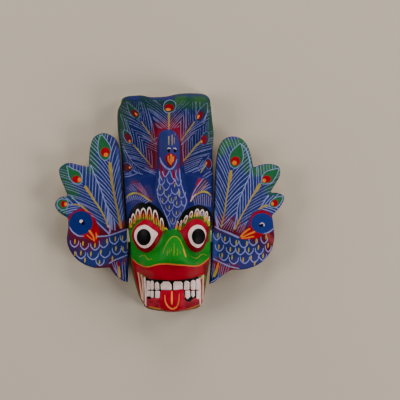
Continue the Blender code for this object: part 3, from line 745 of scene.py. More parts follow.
LOBES = (
    [(-1, 72), (-10, 74), (-13, 74.5), *LEFT_OF_TOP, (-25, 102), (6, 103), *RIGHT_OF_TOP],
    [(-12, 50.5), (-16, 50.5), *LEFT_SEAM, (-54, 101.5), (-25, 101.5), *LEFT_OF_TOP[::-1],
     (-13, 74), (-11.5, 68)],
    [(-14, 28.5), (-25, 31.5), (-37, 39.5), (-45, 50.5), (-54, 58), *LEFT_SEAM[::-1],
     (-12, 50.5), (-12, 42.5)],
    [*RIGHT_SEAM, (48, 101), *RIGHT_OF_TOP],
    [(11, 30), (20, 28.5), (28, 31), (28, 37), (33, 45), (42, 50), (48, 52), *RIGHT_SEAM[::-1]],
    [(-50, 56), (-46, 52), (-41, 42), (-33, 35), (-27, 28), (-38, 32), (-48, 40)],
    [(28, 27), (28, 37), (33, 45), (40, 48), (46, 44), (46, 28)])
top, up_left, out_left, up_right, out_right, low_left, low_right = (
    face.region(lobe, False) for lobe in LOBES)
top_line = [(-1, 60), *TOP, (-1, 104)]
up_left_line = [*UP_LEFT, (-35, 89), (-43, 101)]
out_left_line = [*OUT_LEFT, (-42, 64.5), (-47, 73)]
up_right_line = [*UP_RIGHT, (29.8, 87), (37, 101)]
out_right_line = [*OUT_RIGHT, (35, 64), (38, 72)]
CROWN_BARBS = (
    (top_line, ((-1, 0.78), (-1, 0.68)), 1.95, 34, top),
    (top_line, ((1, 1.0), (1, 0.92)), 1.95, 34, top),
    ([(-12.5, 51), *up_left_line], ((-1, 0.38), (-1, 0.75)), 2.1, 28, up_left),
    (up_left_line, ((-0.25, 1), (0.0, 1)), 2.0, 34, up_left),
    ([(-15, 31.5), *out_left_line], ((-1, 0.3), (-1, 0.08)), 2.1, 28, out_left),
    (out_left_line, ((-0.12, 1), (-0.32, 1)), 2.1, 28, out_left),
    ([(11, 52), *up_right_line], ((1, 0.62), (1, 0.7)), 2.1, 28, up_right),
    (up_right_line, ((0.02, 1), (-0.04, 1)), 2.0, 34, up_right),
    ([(14.5, 29), *out_right_line], ((1, 0.36), (1, 0.24)), 2.1, 30, out_right),
    (out_right_line, ((0.02, 1), (0.12, 1)), 2.3, 26, out_right),
    ([(-27, 28), (-33, 30.5), (-42, 34.5)], ((-0.62, 1), (-0.35, 1)), 1.8, 32, low_left),
    ([(27, 31), (31, 31), (33.5, 34.5), (35.8, 38.5)], ((0.55, 1), (0.4, 1)), 1.8, 14,
     low_right))
for row in CROWN_BARBS:
    barbs(face, THIN, "mist", *row)
RIM_START = 84
RIM_WIDTH = 12
face.coats["mist"] -= 0.1 * smooth((face.y - RIM_START) / RIM_WIDTH)
face.strokes((
    ("mist", [(-14, 30), (-25, 32), (-37, 40), (-44, 50.5), (-47, 57)], 0.42),
    ("mist", [(-13, 57.5), (-20, 62), (-27, 66.5)], 0.42),
    ("mist", [(11, 57.5), (16, 62), (20, 65.5)], 0.42),
    ("mist", [(37, 99), (37.8, 92), (35.5, 85), (33.5, 80)], 0.42)))
print("crown:", face.count, "strokes in its barbs and seams")

# %% Eyes and shafts of the crown
CROWN_EYES = (
    ([(-6.5, 95.5), (-5, 100), (0, 102.5), (5, 100), (6, 95.5), (3.5, 91), (-2, 89.5),
      (-5.5, 91.5)],
     ((-0.8, 94.9), (4.5, 3.6)), ((-1.7, 92.8), (2.6, 1.4)), 0.3, True, (112, 6, 20)),
    ([(-43, 100.5), (-37, 95.5), (-31.5, 90.5), (-30.3, 85), (-35, 84), (-39.8, 88.5),
      (-42, 94.5)],
     ((-35.2, 89), (4.3, 2.7), -40), ((-33.9, 88.2), (1.9, 0.85), -48), 0.2, True,
     (70, 16, 20)),
    ([(-46, 72.5), (-41, 70), (-38, 65.5), (-37.5, 60.5), (-40, 58.5), (-44, 61.5),
      (-46.5, 66.5)],
     ((-42, 64.7), (4.6, 3.0), -60), ((-40.2, 61.2), (1.1, 1.5), 10), 0.26, True, (70, 8, 30)),
    ([(37, 99.5), (37.5, 92.5), (35, 85.5), (31, 81), (27, 81.5), (26, 85.5), (29, 92),
      (33, 96.5)],
     ((30, 87), (4.2, 2.7), 62), ((28.3, 85.6), (2.2, 1.1), 70), 0.2, False, (76, 14, 24)),
    ([(38, 70.5), (39, 64.5), (37, 58.5), (33, 57.5), (31.5, 61.5), (32, 66.5), (35, 70)],
     ((33.9, 62.9), (4.0, 2.9), 84), ((31.5, 60.8), (1.2, 1.5)), 0.2, False, (98, 6, 32)),
    ([(-47, 38), (-43, 39.6), (-39, 37), (-38, 33), (-40, 30), (-44, 29.5), (-47.5, 33)],
     ((-42.5, 35), (3.5, 3.8)), ((-40.2, 35), (1.0, 1.2)), 0.2, False, (38, 8, 14)),
    ([(36, 43), (40, 43.5), (42, 38), (40, 33.5), (37, 34), (35.5, 38.5)],
     ((38.7, 39.2), (2.2, 3.8)), ((36.5, 39.4), (0.8, 1.4)), 0.2, False, (70, 8, 22)))
for row in CROWN_EYES:
    eye_spot(face, *row)
face.strokes((
    ("ochre", TOP + [(-1, 89)], (0.6, 0.9, 1.2, 1.0)),
    ("ochre", UP_LEFT, (0.3, 0.45, 0.6, 0.6, 0.4)),
    ("ochre", OUT_LEFT, (0.35, 0.5, 0.65, 0.7, 0.4)),
    ("ochre", UP_RIGHT, (0.4, 0.6, 0.7, 0.6)),
    ("ochre", OUT_RIGHT, (0.6, 0.8, 1.0, 0.9)),
    ("ochre", [(36, 38), (33.5, 34), (31, 30)], 0.6)))
for path in (
        [(-20, 61.5), (-12.8, 64.5)], [(-17.5, 57.6), (-12.6, 60)],
        [(19, 30.4), (26, 33.6), (33.5, 37.6)], [(22.6, 29.6), (29, 32.4), (36, 36.2)],
        [(-38, 33), (-33, 30), (-27, 28)], [(-27, 33.5), (-20, 30), (-15, 28)],
        [(-25, 34.5), (-19, 31.5), (-15, 30)], [(-48, 25.5), (-40, 26.4), (-33, 29)],
        [(-46, 28), (-38, 28.6)], [(41, 31.5), (37, 29), (33, 26)],
        [(43, 29.5), (39, 27), (35, 24.5)]):
    face.stroke("mist", path, (0.3, 0.5, 0.36))
print("crown:", face.count, "strokes")

# %% [markdown]
# ## The peacock over the brow
#
# Its head stands out in front of the crown, with a red beak, two small eyes and three
# crest feathers. Scales run down its breast to a point between the demon's eyes, and its
# half-open wings spread over the brows as striped fans.

# %% Head and breast of the peacock
face.wipe("mist", bird + 0.6)
scales(face, (
    (-8.3, 17.3, 3.3, -9.5, 14.5), (1, 18.3, 4.0, 5.0, 17.0), (8.6, 16.5, 3.0, 9.5, 11.0),
    (-3.8, 12.3, 3.6, -5.5, 10.5), (5.2, 8.0, 3.9, 6.3, 4.5), (-9.3, 7.0, 3.6, 0, None),
    (-2.2, 5.0, 3.7, -1.2, 5.8), (11.8, 4.5, 3.8, 10, 8.6), (-5.8, -1.2, 3.6, -7, 2.0),
    (1.4, -0.6, 3.3, 1.6, 2.6), (7.6, -4.8, 4.4, 7, -0.5), (14.0, -3.5, 2.8, 0, None),
    (-0.4, -8.7, 3.8, -0.5, -4.8), (6.6, -14.5, 3.8, 6.6, -10.5), (-2.6, -14, 2.8, 0, None),
    (3.0, -21.6, 3.0, 2.6, -17.8)), half=0.38, drop=0.45)
beak = face.region([
    (-4.6, 42.5), (-4.2, 46), (-1.5, 48.6), (2, 48.9), (5.6, 46.6), (6.2, 43.5), (4.2, 39.5),
    (1.5, 35.2), (-0.8, 36), (-2.8, 39)])
face.fill("red", beak)
for x in (-1, 5.2):
    face.fill("ink", face.oval((x, 51.4), (1.5, 1.9)))
face.strokes((
    ("pale", [(-10.3, 31), (-10.3, 20), (-12.4, 12), (-11.6, 5), (-8, -4), (-3.4, -14),
              (0.5, -24)], 0.4),
    ("pale", [(9.7, 34), (10.6, 22), (13.2, 12), (16.5, 2), (14.4, -6)], 0.4),
    ("mist", [(14.4, -6), (8.6, -16), (3.5, -25)], (0.36, 0.26)),
    ("red", [(-9, 39), (-8, 32), (-6.7, 25)], (0.7, 1.6, 0.8)),
    ("red", [(-3.8, 32), (-4.6, 27)], (1.1, 0.7)),
    ("red", [(3.6, 32), (4.3, 25), (4.4, 19)], (0.9, 1.5, 0.7)),
    ("red", [(8.2, 38), (8.2, 30)], (0.9, 0.7)),
    ("pale", [(-7.5, 31), (-5, 25.5), (-2, 28.5), (-0.5, 32)], 0.42),
    ("pale", [(0.6, 31), (2.5, 25), (5.6, 21)], 0.42),
    ("pale", [(-10, 27), (-7.8, 22)], 0.42),
    ("pale", [(6.4, 32), (6, 27), (8.5, 22)], 0.42),
    ("ochre", [(-1, 65.5), (-1, 57.5)], (0.6, 0.9, 0.6)),
    ("ochre", [(2.3, 67), (2.3, 57)], (0.6, 0.85, 0.5)),
    ("ochre", [(4.5, 64.5), (4.5, 58.5)], (0.4, 0.6, 0.4)),
    ("white", [(-2.2, 53.4), (-0.8, 54.2), (0.6, 53.5)], 0.36),
    ("white", [(3.8, 53.8), (5.4, 54), (6.4, 52.8)], 0.34),
    ("orange", [(-1.5, 46), (-1.2, 41.5), (0.3, 38.5)], (0.7, 0.9, 0.5)),
    ("orange", [(1.2, 47.2), (1.6, 42), (1, 38)], (1.0, 1.6, 0.9)),
    ("orange", [(3.7, 45.5), (3.4, 41)], 0.6),
    ("pale", [(-10.6, 46), (-9, 41.5), (-6.5, 37.5), (-3, 34.2), (0.2, 33.1), (3.2, 34.5),
              (5.6, 38), (7.2, 43)], (0.5, 0.85, 0.95, 0.95, 0.8, 0.7, 0.5, 0.35))))
print("with the peacock's breast:", face.count, "strokes")

# %% Wings of the peacock
LEFT_WING = (-42, -21, 2.05)
RIGHT_WING = (23.5, 42, 2.2)
face.tints((
    ((110, 18, 42), [(-35, 18), (-28, 12)], 4.4, 0.9),
    ((96, 18, 42), [(-27, 11), (-19.5, 3)], 2.2, 0.9),
    ((52, 46, 104), [(-40, 13), (-36, 15)], 5.0, 0.9),
    ((44, 40, 100), [(-38, 3), (-26, 2)], 4.5, 0.9),
    ((150, 14, 42), [(30, 22.5), (28, 18)], 2.4, 0.9),
    ((96, 18, 42), [(27, 15), (22, 4)], 2.2, 0.9),
    ((66, 30, 50), [(35, 20), (30, 11)], 4.0, 0.9),
    ((46, 32, 76), [(27, 3), (40, 3)], 4.5, 0.9)))


def quills(root, step, bow, widths, tips):
    """Bowed strokes from roots in a row to their tips."""
    for k, (x, y) in enumerate(tips):
        x0, y0 = root[0] + step[0] * k, root[1] + step[1] * k
        middle = (x0 * 0.5 + x * 0.5 + bow, y0 * 0.5 + y * 0.5)
        face.stroke("mist", [(x0, y0), middle, (x, y)], widths)


def arch(x, top, middle, half_span, drop):
    """Height of a wing's front edge, which the short stripes hang from."""
    return top - ((x - middle) / half_span) ** 2 * drop


quills((-20.4, 4.2), (-1.5, 1), 0.5, (0.2, 0.3, 0.24),
       ((-30.6, 19.6), (-32.7, 19.4), (-34.9, 19), (-37, 18.6)))
quills((23.6, 6.4), (2.8, 1.5), -0.6, (0.3, 0.42, 0.38),
       ((35.6, 21.6), (37.8, 20.2), (39.8, 18.4), (41, 15.6)))
for x in np.arange(*LEFT_WING):
    edge = arch(x, 8.2, -35, 12.5, 5)
    inward = x - LEFT_WING[0]
    foot = (x - (1.3 + inward * 0.09), edge - 7 + inward * 0.2)
    face.stroke("mist", [(x, edge - 1.2), foot], (0.5, 0.4))
for x in np.arange(*RIGHT_WING):
    foot = (x + (34 - x) * 0.16, -1.8 - abs(x - 28) * 0.2)
    face.stroke("mist", [(x, arch(x, 9.5, 33, 9.5, 4.5) - 1.2), foot], (0.44, 0.34))
face.strokes((
    ("mist", [(-33, 11), (-39.5, 18)], (0.3, 0.24)),
    ("mist", [(-35.2, 11.4), (-41.2, 16.8)], (0.3, 0.24)),
    ("mist", [(-37.6, 11.4), (-42.6, 15)], (0.3, 0.24)),
    ("pale", [(21, 2), (23.5, 9.5), (28, 17), (33.6, 24)], (0.3, 0.5, 0.55, 0.4)),
    ("orange", [(31.5, 12), (34.5, 15.5), (36.5, 17)], (0.2, 0.35, 0.2)),
    ("ochre", [(-43.6, 4.5), (-41.5, 7), (-38.5, 8.6), (-35.5, 9.4), (-32, 9)],
     (0.6, 1.0, 1.2, 1.1, 0.6)),
    ("yellow", [(-41, 7.2), (-38, 8.8), (-34.5, 9.5)], (0.3, 0.7, 0.3)),
    ("ochre", [(-36, 9.2), (-32, 9), (-28, 7.3), (-24, 4.8), (-20.5, 2.3), (-18, 1)],
     (0.6, 1.0, 1.0, 1.0, 0.9, 0.4)),
    ("tan", [(-27.5, 7), (-24, 4.8), (-21, 2.6)], (0.2, 0.5, 0.4)),
    ("tan", [(20.8, 1.2), (22.6, 4.8), (25.5, 7.6), (29, 9.4)], (0.6, 0.8, 0.8, 0.4)),
    ("ochre", [(26, 8), (30, 10), (34, 10.9), (38, 9.6), (41, 6.8)], (0.6, 0.9, 1.1, 1.0, 0.5)),
    ("yellow", [(31, 10.5), (34.5, 10.9), (38, 9.6)], (0.4, 0.8, 0.4))))
print("with its wings:", face.count, "strokes")

# %% [markdown]
# ## The demon's face
#
# The face is bright green. A black brow arches over each eye, with a row of white and
# orange lashes under it, a green lid, and a thick red rim round the white of the eye. The
# nose is only drawn, with a thin yellow arch. Under the orange line of the muzzle come the
# red lip, two rows of square teeth with strips of fang beside them, and the tongue.

# %% Green skin and brows
MUZZLE = [
    (-40.6, -52), (-37, -56.5), (-33.5, -60), (-30, -62), (-25, -64), (-20, -63.8), (-15, -62.3),
    (-10, -61.3), (-5, -61), (0, -61.2), (5, -61.7), (10, -62.2), (15, -62.5), (20, -63),
    (25, -63.3), (30, -62.5), (34, -60), (37.5, -57), (40, -53.5)]
skin_area = face.region([
    (-50, -18), (-41, -21), (-35, -18), (-25, -15), (-14, -19), (-5, -26), (0, -28), (2.5, -26),
    (7, -26), (14, -19), (26, -14), (37, -19), (42, -23), (52, -20), (52, -112),
    (-52, -112)], False)
face.flood(FACE_GREEN, skin_area)
face.tints((
    ((22, 130, 34), [(-6, -54), (8, -40), (12, -56)], 12, 0.5),
    ((8, 98, 16), [(-36, -44), (-34, -58)], 7, 0.6),
    ((8, 96, 16), [(16, -40), (22, -54), (36, -52)], 6, 0.6),
    ((20, 96, 30), [(-8, -31), (10, -31)], 5, 0.6)))
BROWS = (
    [(-43.5, -21), (-41.5, -14), (-39, -8.5), (-35, -3.5), (-30, -0.5), (-23, 0.6), (-18, -1),
     (-12, -5), (-7, -10.5), (-3, -17.5), (-1.2, -26), (-4.5, -27.5), (-9, -23), (-14, -18.5),
     (-20, -15.3), (-25, -14.2), (-30, -15.3), (-35, -18.3), (-39, -22.7), (-41.8, -26)],
    [(5.6, -24), (7.8, -15.5), (12.4, -9.9), (18, -6), (23, -3.5), (29, -2.4), (35, -4),
     (39.5, -8), (42.3, -13.5), (42.8, -22), (39.5, -25), (37, -20), (32, -16), (26, -14.3),
     (20, -15.8), (14, -20.3), (10, -24.3), (7.5, -27)])
for brow in BROWS:
    face.fill("black", face.region(brow))
brow_field = face.coats["black"].copy()
for lid, gold, share in (
        ([(-39.7, -25), (-36, -19.6), (-31, -16.2), (-25.5, -14.8), (-20, -16), (-14.5, -19.6),
          (-10, -24.2), (-6, -28)], (128, 78, 12), 0.85),
        ([(10.5, -26.5), (15, -21), (20.5, -15.8), (26.5, -13.4), (32, -14.6), (36.4, -19.4),
          (38.7, -25.5)], (92, 92, 32), 0.5)):
    face.wipe("black", face.trace(lid, 1.5))
    face.flood(LID_GREEN, face.trace(lid, 3.2), 1.0)
    face.tint(gold, [(x, y + 1.3) for x, y in lid[1:-1]], 1.4, share)
print("black brows on", (brow_field > 0).sum(), "points")

# %% Lashes
LASHES = (
    ((-39.2, -23.5), (-39.7, -16.8), 0.9, "red", "orange"),
    ((-36.5, -19.5), (-36.6, -12.2), 1.4, "red", "orange"),
    ((-32, -15.6), (-32, -7.8), 1.7, "red", "orange"),
    ((-26.5, -14.4), (-26.5, -6.8), 2.3, "red", "orange"),
    ((-20.3, -15.2), (-20.6, -5.9), 1.9, "red", "orange"),
    ((-13.6, -19.6), (-14.8, -9), 2.0, "red", "orange"),
    ((-7.4, -26), (-8.4, -16.8), 1.4, "red", "orange"),
    ((6.4, -25.4), (7.8, -19.2), 0.7, "tan", "orange"),
    ((9.8, -25.6), (11.6, -18.4), 0.8, "tan", "orange"),
    ((14.2, -20.4), (16.8, -13.8), 1.2, "red", "tan"),
    ((20.2, -15), (21.8, -9.4), 1.2, "red", "tan"),
    ((27, -13.2), (27.4, -7.4), 1.9, "tan", "orange"),
    ((31.9, -13.2), (32.5, -7.9), 1.7, "mist", "tan"),
    ((35.8, -17.6), (36.6, -10), 1.3, "tan", "orange"),
    ((39, -21.8), (39.1, -14.6), 0.6, "white", "yellow"))
LOOP = ((0.1, -1.1), (0.7, -0.95), (1, -0.35), (1.02, 0.35), (0.7, 0.95), (0.1, 1.1))
WHITE_LOOP = ((0.2, -1.05), (0.75, -0.9), (1.06, -0.3), (1.06, 0.3), (0.75, 0.9), (0.25, 1.05))
THICKEST = 0.52


def lash(base, tip, half, heart, foot):
    """A looped hair, white at the tip, with a heart and strokes of colour at its foot."""
    base, tip = np.array(base), np.array(tip)
    across = unit((base - tip)[::-1] * (-1, 1)) * half

    def path(*places):
        """Points given by how far up the hair and how far aside of it they lie."""
        return [base * (1 - up) + tip * up + across * aside for up, aside in places]

    thin = min(half * 0.34, THICKEST)
    face.strokes((
        (heart, path((0.05, 0), (0.45, 0), (0.75, 0)), (half * 0.6, half * 0.5, 0.2)),
        ("tan", path(*LOOP), (0.36, thin, thin * 1.2, thin * 1.2, thin, 0.36)),
        ("white", path(*WHITE_LOOP),
         (0.12, thin * 0.6, thin * 1.3, thin * 1.3, thin * 0.6, 0.12))))
    for aside in (-1.05, 0.1, 1.1):
        if foot != "tan":
            face.stroke("yellow", path((-0.2, aside), (0.2, aside), (0.4, aside)),
                        (0.4, 0.44, 0.15))
        face.stroke(foot, path((-0.02, aside), (0.25, aside), (0.5, aside * 0.95)),
                    (0.26, 0.34, 0.12))


for row in LASHES:
    lash(*row)
for foot, tip in (
        ((-34.3, -18), (-34.4, -13.4)), ((-29.4, -15), (-29.4, -10.5)),
        ((-23.2, -14.2), (-23.4, -9.4)), ((-17.4, -16.6), (-17.6, -10.6)),
        ((-10.6, -22.6), (-11.2, -16.4)), ((24.2, -13.8), (24.2, -10.6)),
        ((34, -15.4), (34.2, -11.6)), ((37.6, -20.6), (38, -15.4))):
    face.stroke("yellow", [foot, tip], (0.55, 0.2))
face.stroke("yellow", [(-5.6, -26.6), (-4, -25.8), (-2.8, -26.8)], (0.6, 1.1, 0.6))
face.stroke("orange", [(-5, -26.4), (-3.6, -26.2)], (0.2, 0.4, 0.2))
print(len(LASHES), "lashes;", face.count, "strokes so far")

# %% Eyes
RIMS = (
    [(-38, -33.5), (-37, -28.5), (-34, -23.5), (-30, -20), (-24.5, -16.7), (-20, -17.9),
     (-15, -21.6), (-10, -26), (-7.4, -28.9), (-8.6, -33.5), (-12, -40.5), (-17, -46.5),
     (-22, -49.6), (-27, -49), (-32, -45.5), (-36, -39.5)],
    [(9.8, -28.5), (14, -25), (19, -19.4), (25, -16.5), (30, -16.9), (35, -20.6), (37.8, -26.5),
     (37.8, -32.5), (36.2, -39.5), (33, -46), (28, -49.4), (23, -48.5), (18, -44), (15, -38.5),
     (12.5, -33.5), (11, -30)])
WHITES = (
    [(-35.6, -31.6), (-34, -27.2), (-30.6, -23.9), (-26, -22.2), (-22, -23), (-17, -26.5),
     (-12, -30.6), (-14, -35), (-17, -40), (-21, -44.2), (-25.5, -45.4), (-30, -43.5),
     (-33.6, -39), (-35.4, -35)],
    [(18.2, -31.5), (19.6, -27.4), (22.4, -24.1), (27, -22.2), (32, -23.5), (35.6, -28.5),
     (36, -33.5), (33.8, -39.8), (30.6, -43.8), (27, -44.9), (22, -41.8), (19.4, -37)])
PUPILS = (((-25.9, -34.4), (7.2, 8.3)), ((28.6, -33.7), (6.9, 8.0)))
# Painted shade: each rim is darkened along its right side.
RIM_SHADED_SIDES = ([(-8.4, -31), (-12, -38)], [(38.4, -25), (37.4, -38)])
rims = [face.region(rim) for rim in RIMS]
whites = [face.region(white) for white in WHITES]
# Painted shade: the red of the rims is darker low down and lighter high up.
high_on_rim = smooth((face.y + 49) / 26)[:, None]
rim_red_shaded_below = pigment(88, 2, 12) * (1 - high_on_rim) + pigment(140, 2, 32) * high_on_rim
for rim, white, pupil, edge in zip(rims, whites, PUPILS, RIM_SHADED_SIDES):
    face.wipe("white orange yellow tan black red", rim)
    face.wipe("leaf", rim - 0.4)
    face.flood(rim_red_shaded_below, rim + 0.3)
    face.tint((92, 6, 16), edge, 2.2, 0.8)
    face.fill("scarlet", rim)
    face.wipe("scarlet", white + 0.1)
    # Painted shade that shows faintly through each white: pinkish next to the raised rim, grey
    # further in.
    face.flood((150, 40, 50), white)
    face.flood((84, 80, 76), white - 1.6, 1.5)
    face.fill("white", white)
    face.fill("ink", face.oval(*pupil))
print("whites of the eyes on", [int((white > 0).sum()) for white in whites], "points")

# %% Nose
face.strokes((
    ("yellow", [(-7, -51), (-5, -44.5), (-2, -39), (1, -35.2), (4.5, -33.6), (8, -35), (11, -39),
                (13.2, -44.5), (14.6, -49)],
     (0.2, 0.28, 0.34, 0.4, 0.45, 0.42, 0.45, 0.5, 0.6)),
    ("yellow", [(12.6, -42.5), (14.2, -48), (15.8, -53.5)], (0.3, 0.8, 0.9)),
    ("coral", [(13.6, -46), (14.8, -50), (15.5, -52.6)], (0.1, 0.26, 0.2)),
    ("yellow", [(-31, -54.5), (-28, -52.8), (-25, -52.3), (-23.5, -54.5), (-21.5, -56.8),
                (-19, -56.5), (-18, -55)], (0.15, 0.26, 0.34, 0.2)),
    ("yellow", [(20, -52.5), (23, -54.5), (26, -55.5), (28.5, -54.5), (30.5, -52.5), (34, -51.5),
                (37, -53)], (0.15, 0.26, 0.34, 0.2))))
for x, y0, y1, width in (
        (-2.5, -46.5, -52.5, 0.4), (-0.5, -44.5, -50.5, 0.35), (1.6, -43, -49, 0.3),
        (4.3, -40.5, -52.5, 0.5), (7.7, -44.5, -52.5, 0.4), (10.2, -47, -52, 0.3)):
    face.stroke("yellow", [(x, y0), (x, (y0 + y1) / 2), (x - 0.2, y1)],
                (width * 0.3, width * 0.8, width * 0.6))
print("with the nose:", face.count, "strokes")

# %% Lips
lip = face.region(MUZZLE[1:] + [
    (39, -62), (36.8, -70), (34.6, -73), (31, -72.6), (27, -74.6), (22, -76), (16, -77),
    (10, -77.6), (2, -77.9), (-6, -77.6), (-14, -77), (-20, -76.4), (-23, -75), (-26, -72.5),
    (-31.5, -69.3), (-30.2, -79.5), (-28.3, -90), (-26.6, -100), (-28, -101), (-30.6, -93),
    (-33.8, -80), (-37.5, -67), (-40.3, -55)], False)
lower_lip = np.maximum(
    face.region([(-25, -93), (-9, -93), (-8, -109), (-16, -107.3), (-24.3, -105)], False),
    face.region([(12, -93), (31, -93), (31.4, -102), (23, -106.5), (12, -109)], False))
face.flood(LIP_RED, lip)
face.flood((164, 38, 54), lower_lip)
# Painted sheen: a paler, browner red on both sides of the upper lip.
face.tints((
    ((136, 44, 44), [(-29, -66), (-20, -73)], 6, 0.6),
    ((142, 28, 34), [(20, -72), (30, -66)], 6, 0.6)))
for x, y in ((-20, -99), (-14, -103), (-12, -98.5), (17, -104), (22, -101), (27, -103)):
    face.tint((122, 20, 34), [(x, y), (x + 2, y)], 1.5, 0.7)
face.tints((
    ((124, 20, 34), [(17, -102), (28, -101)], 5, 0.7),
    ((96, 70, 30), [(-22, -106.5), (-10, -109)], 1.6, 0.8),
    ((96, 70, 30), [(18, -109), (30, -104.5)], 1.6, 0.8),
    # Painted shade: darker red down the left side of the mouth and at the right end of the lip.
    ((108, 8, 12), [(-38, -62), (-33, -84), (-29, -98)], 4, 0.7),
    ((88, 18, 14), [(35.5, -64), (36.5, -71)], 3.2, 0.85),
    ((78, 44, 34), [(38.4, -60), (38, -74), (36.5, -86), (34.5, -100)], 2.6, 0.9)))
face.fill("black", face.region([
    (-24, -74.6), (-20, -76), (-8, -76.8), (4, -77.4), (14, -76.5), (22, -75.2), (27.6, -73.8),
    (29, -76), (28.8, -88), (28, -95), (26.2, -95), (24.6, -95.4), (22.6, -96.5), (20.6, -98.6),
    (17.4, -98.8), (14.8, -96.6), (13, -92), (-10, -94), (-17, -94.6), (-19.5, -96), (-22.4, -96),
    (-23.4, -90)]))
print("red lip on", (lip > 0).sum(), "points")

# %% Teeth and fangs
UPPER_FOOT = -87.0
LOWER_TOP = -87.9
UPPER = (
    (-22.7, -19.5, -78.0, 0.7), (-19.3, -16.2, -77.9, 1.0), (-15.1, -10.6, -79.0, 1.5),
    (-9.2, 1.6, -78.6, 2.6), (3.2, 12.8, -78.8, 1.3), (14.2, 19.6, -78.0, 1.3),
    (20.8, 25.4, -77.2, 1.5), (26.0, 29.4, -76.4, 1.0))
LOWER = (
    (-22.5, -19.6, -93.6, 0.7), (-19.3, -16.3, -94.9, 1.0), (-14.8, -10.1, -95.4, 1.3),
    (15.1, 20.2, -96.1, 2.2), (21.6, 24.8, -94.6, 1.6), (26.4, 29.6, -96.4, 0.9))
FANGS = (
    [(-32.2, -69.3), (-28.5, -72), (-25, -75.2), (-23.8, -78), (-23.4, -92), (-23.6, -103.4),
     (-25.6, -103.6), (-28, -102), (-29.6, -92), (-31, -80.5)],
    [(28.6, -75.4), (32, -73.6), (34.2, -72), (34.8, -77), (34.2, -88), (33.4, -101.5),
     (30, -102.8), (29.2, -98), (29, -88)])


def tooth(x0, x1, top, foot, a, b):
    """A tooth between two heights, its corners eased by a at the top and b at the foot."""
    shift = rng.uniform(-0.25, 0.25, 6)
    return face.region([
        (x0 + shift[0], foot + b), (x0 + shift[1], top - a * 1.2), (x0 + a, top + shift[2]),
        (x1 - a, top + shift[3]), (x1 + shift[4], top - a * 1.2), (x1 + shift[5], foot + b),
        (x1 - b, foot + shift[1]), (x0 + b, foot + shift[4])], False)


teeth = [tooth(x0, x1, top, UPPER_FOOT, easing, 0.7) for x0, x1, top, easing in UPPER]
teeth += [tooth(x0, x1, LOWER_TOP, foot, 0.5, easing) for x0, x1, foot, easing in LOWER]
fangs = [face.region(fang, False) for fang in FANGS]
face.flood((150, 74, 74), np.maximum(*fangs))
for shape in teeth:
    face.flood((196, 136, 134), shape)
    face.fill("white", shape)
face.strokes((
    ("tan", [(-32, -69.6), (-30.6, -77.5), (-29.2, -87.5), (-27.4, -102)], (0.35, 0.7, 0.8, 0.5)),
    ("tan", [(-28.6, -72.4), (-27.3, -80), (-27, -90), (-26.9, -102.4)], (0.6, 0.9, 0.75, 0.6)),
    ("white", [(-25.4, -75), (-24.8, -84), (-24.5, -93), (-24.4, -103)], (0.9, 0.8, 0.8, 0.8)),
    ("white", [(-22.9, -78), (-22.9, -86), (-23.1, -93.6)], (0.4, 0.6, 0.5)),
    ("red", [(-29.3, -74), (-28.2, -86), (-27.6, -95)], 0.55),
    ("red", [(-26, -76), (-25.8, -88), (-25.6, -103)], (0.4, 0.5, 0.3)),
    ("white", [(29.4, -76.4), (30.1, -84), (30.2, -95), (30.4, -102.6)], (0.8, 0.9, 0.85, 0.6)),
    ("tan", [(33.4, -72.8), (33.2, -80), (33, -92), (32.8, -101.6)], (0.8, 0.7, 0.6, 0.4)),
    ("tan", [(28.8, -75.4), (31, -75.4), (33.4, -72.8)], (0.4, 0.6, 0.5)),
    ("red", [(31.5, -77), (31.8, -86), (31.7, -98)], (0.3, 0.5, 0.3)),
    ("red", [(34.4, -74), (34.5, -83)], 0.5),
    ("ink", [(-23.9, -77.5), (-23.7, -87)], 0.22),
    ("red", [(13.8, -86.9), (20, -87), (28.6, -86.8)], 0.5),
    ("ink", [(-15, -87.6), (-10.4, -87.6)], 0.36),
    ("ink", [(-19.5, -80), (-19.6, -93)], 0.16)))
for path, width in (
        ([(-8, -86.6), (1, -86.8)], 0.35), ([(-20.9, -80), (-21.1, -92)], 0.3),
        ([(-14, -85.6), (-11, -85.8)], 0.4), ([(15.5, -89), (15.6, -94)], 0.3),
        ([(17.4, -79.5), (17.3, -85.5)], 0.22), ([(24, -79), (24.2, -85)], 0.2),
        ([(7.4, -80), (7.2, -86)], 0.16), ([(-3.6, -80), (-3.8, -86)], 0.16)):
    face.stroke("mist", path, width)
print(len(teeth), "teeth and", len(fangs), "fangs")

# %% Tongue and the lines of the mouth
tongue = face.region([
    (-9.2, -88), (-2, -87.2), (2, -87.6), (8, -86.8), (13.6, -86.8), (14.2, -93.5), (14, -100.5),
    (12.4, -105.6), (8, -109.2), (2, -110.4), (-4, -109.2), (-8.4, -105), (-10.4, -99.5),
    (-10.2, -93.5)])
face.flood((156, 2, 34), tongue + 0.3)
face.wipe("white red tan", tongue)
face.fill("scarlet", tongue)
face.strokes((
    ("orange", MUZZLE, (0.25, 0.25, 0.3, 0.35, 0.55, 0.7, 0.7, 0.7, 0.65, 0.6, 0.5, 0.35, 0.25)),
    ("coral", [(-5, -92.5), (-4.5, -98.5), (-2, -103.4), (1, -105.6), (3.5, -106), (6.5, -104.4)],
     (0.4, 0.8, 0.8, 0.8)),
    ("orange", [(5, -105.4), (7.5, -102.8), (9, -98), (9.4, -90.8)], (0.4, 0.7, 0.6, 0.4)),
    ("coral", [(2, -88.6), (2, -95), (2, -100.8)], (0.6, 0.95, 0.8)),
    ("orange", [(-20.6, -103.8), (-15, -105.2), (-9.6, -106.2)], (0.3, 0.6, 0.4)),
    ("yellow", [(-20.6, -104.6), (-15, -106), (-9.6, -107)], (0.3, 0.5, 0.3)),
    ("ochre", [(12, -108), (22, -105.4), (30, -101.8)], (0.3, 0.6, 0.4)),
    ("orange", [(14, -107.2), (21, -105.2), (28, -102.4)], (0.2, 0.34, 0.2))))
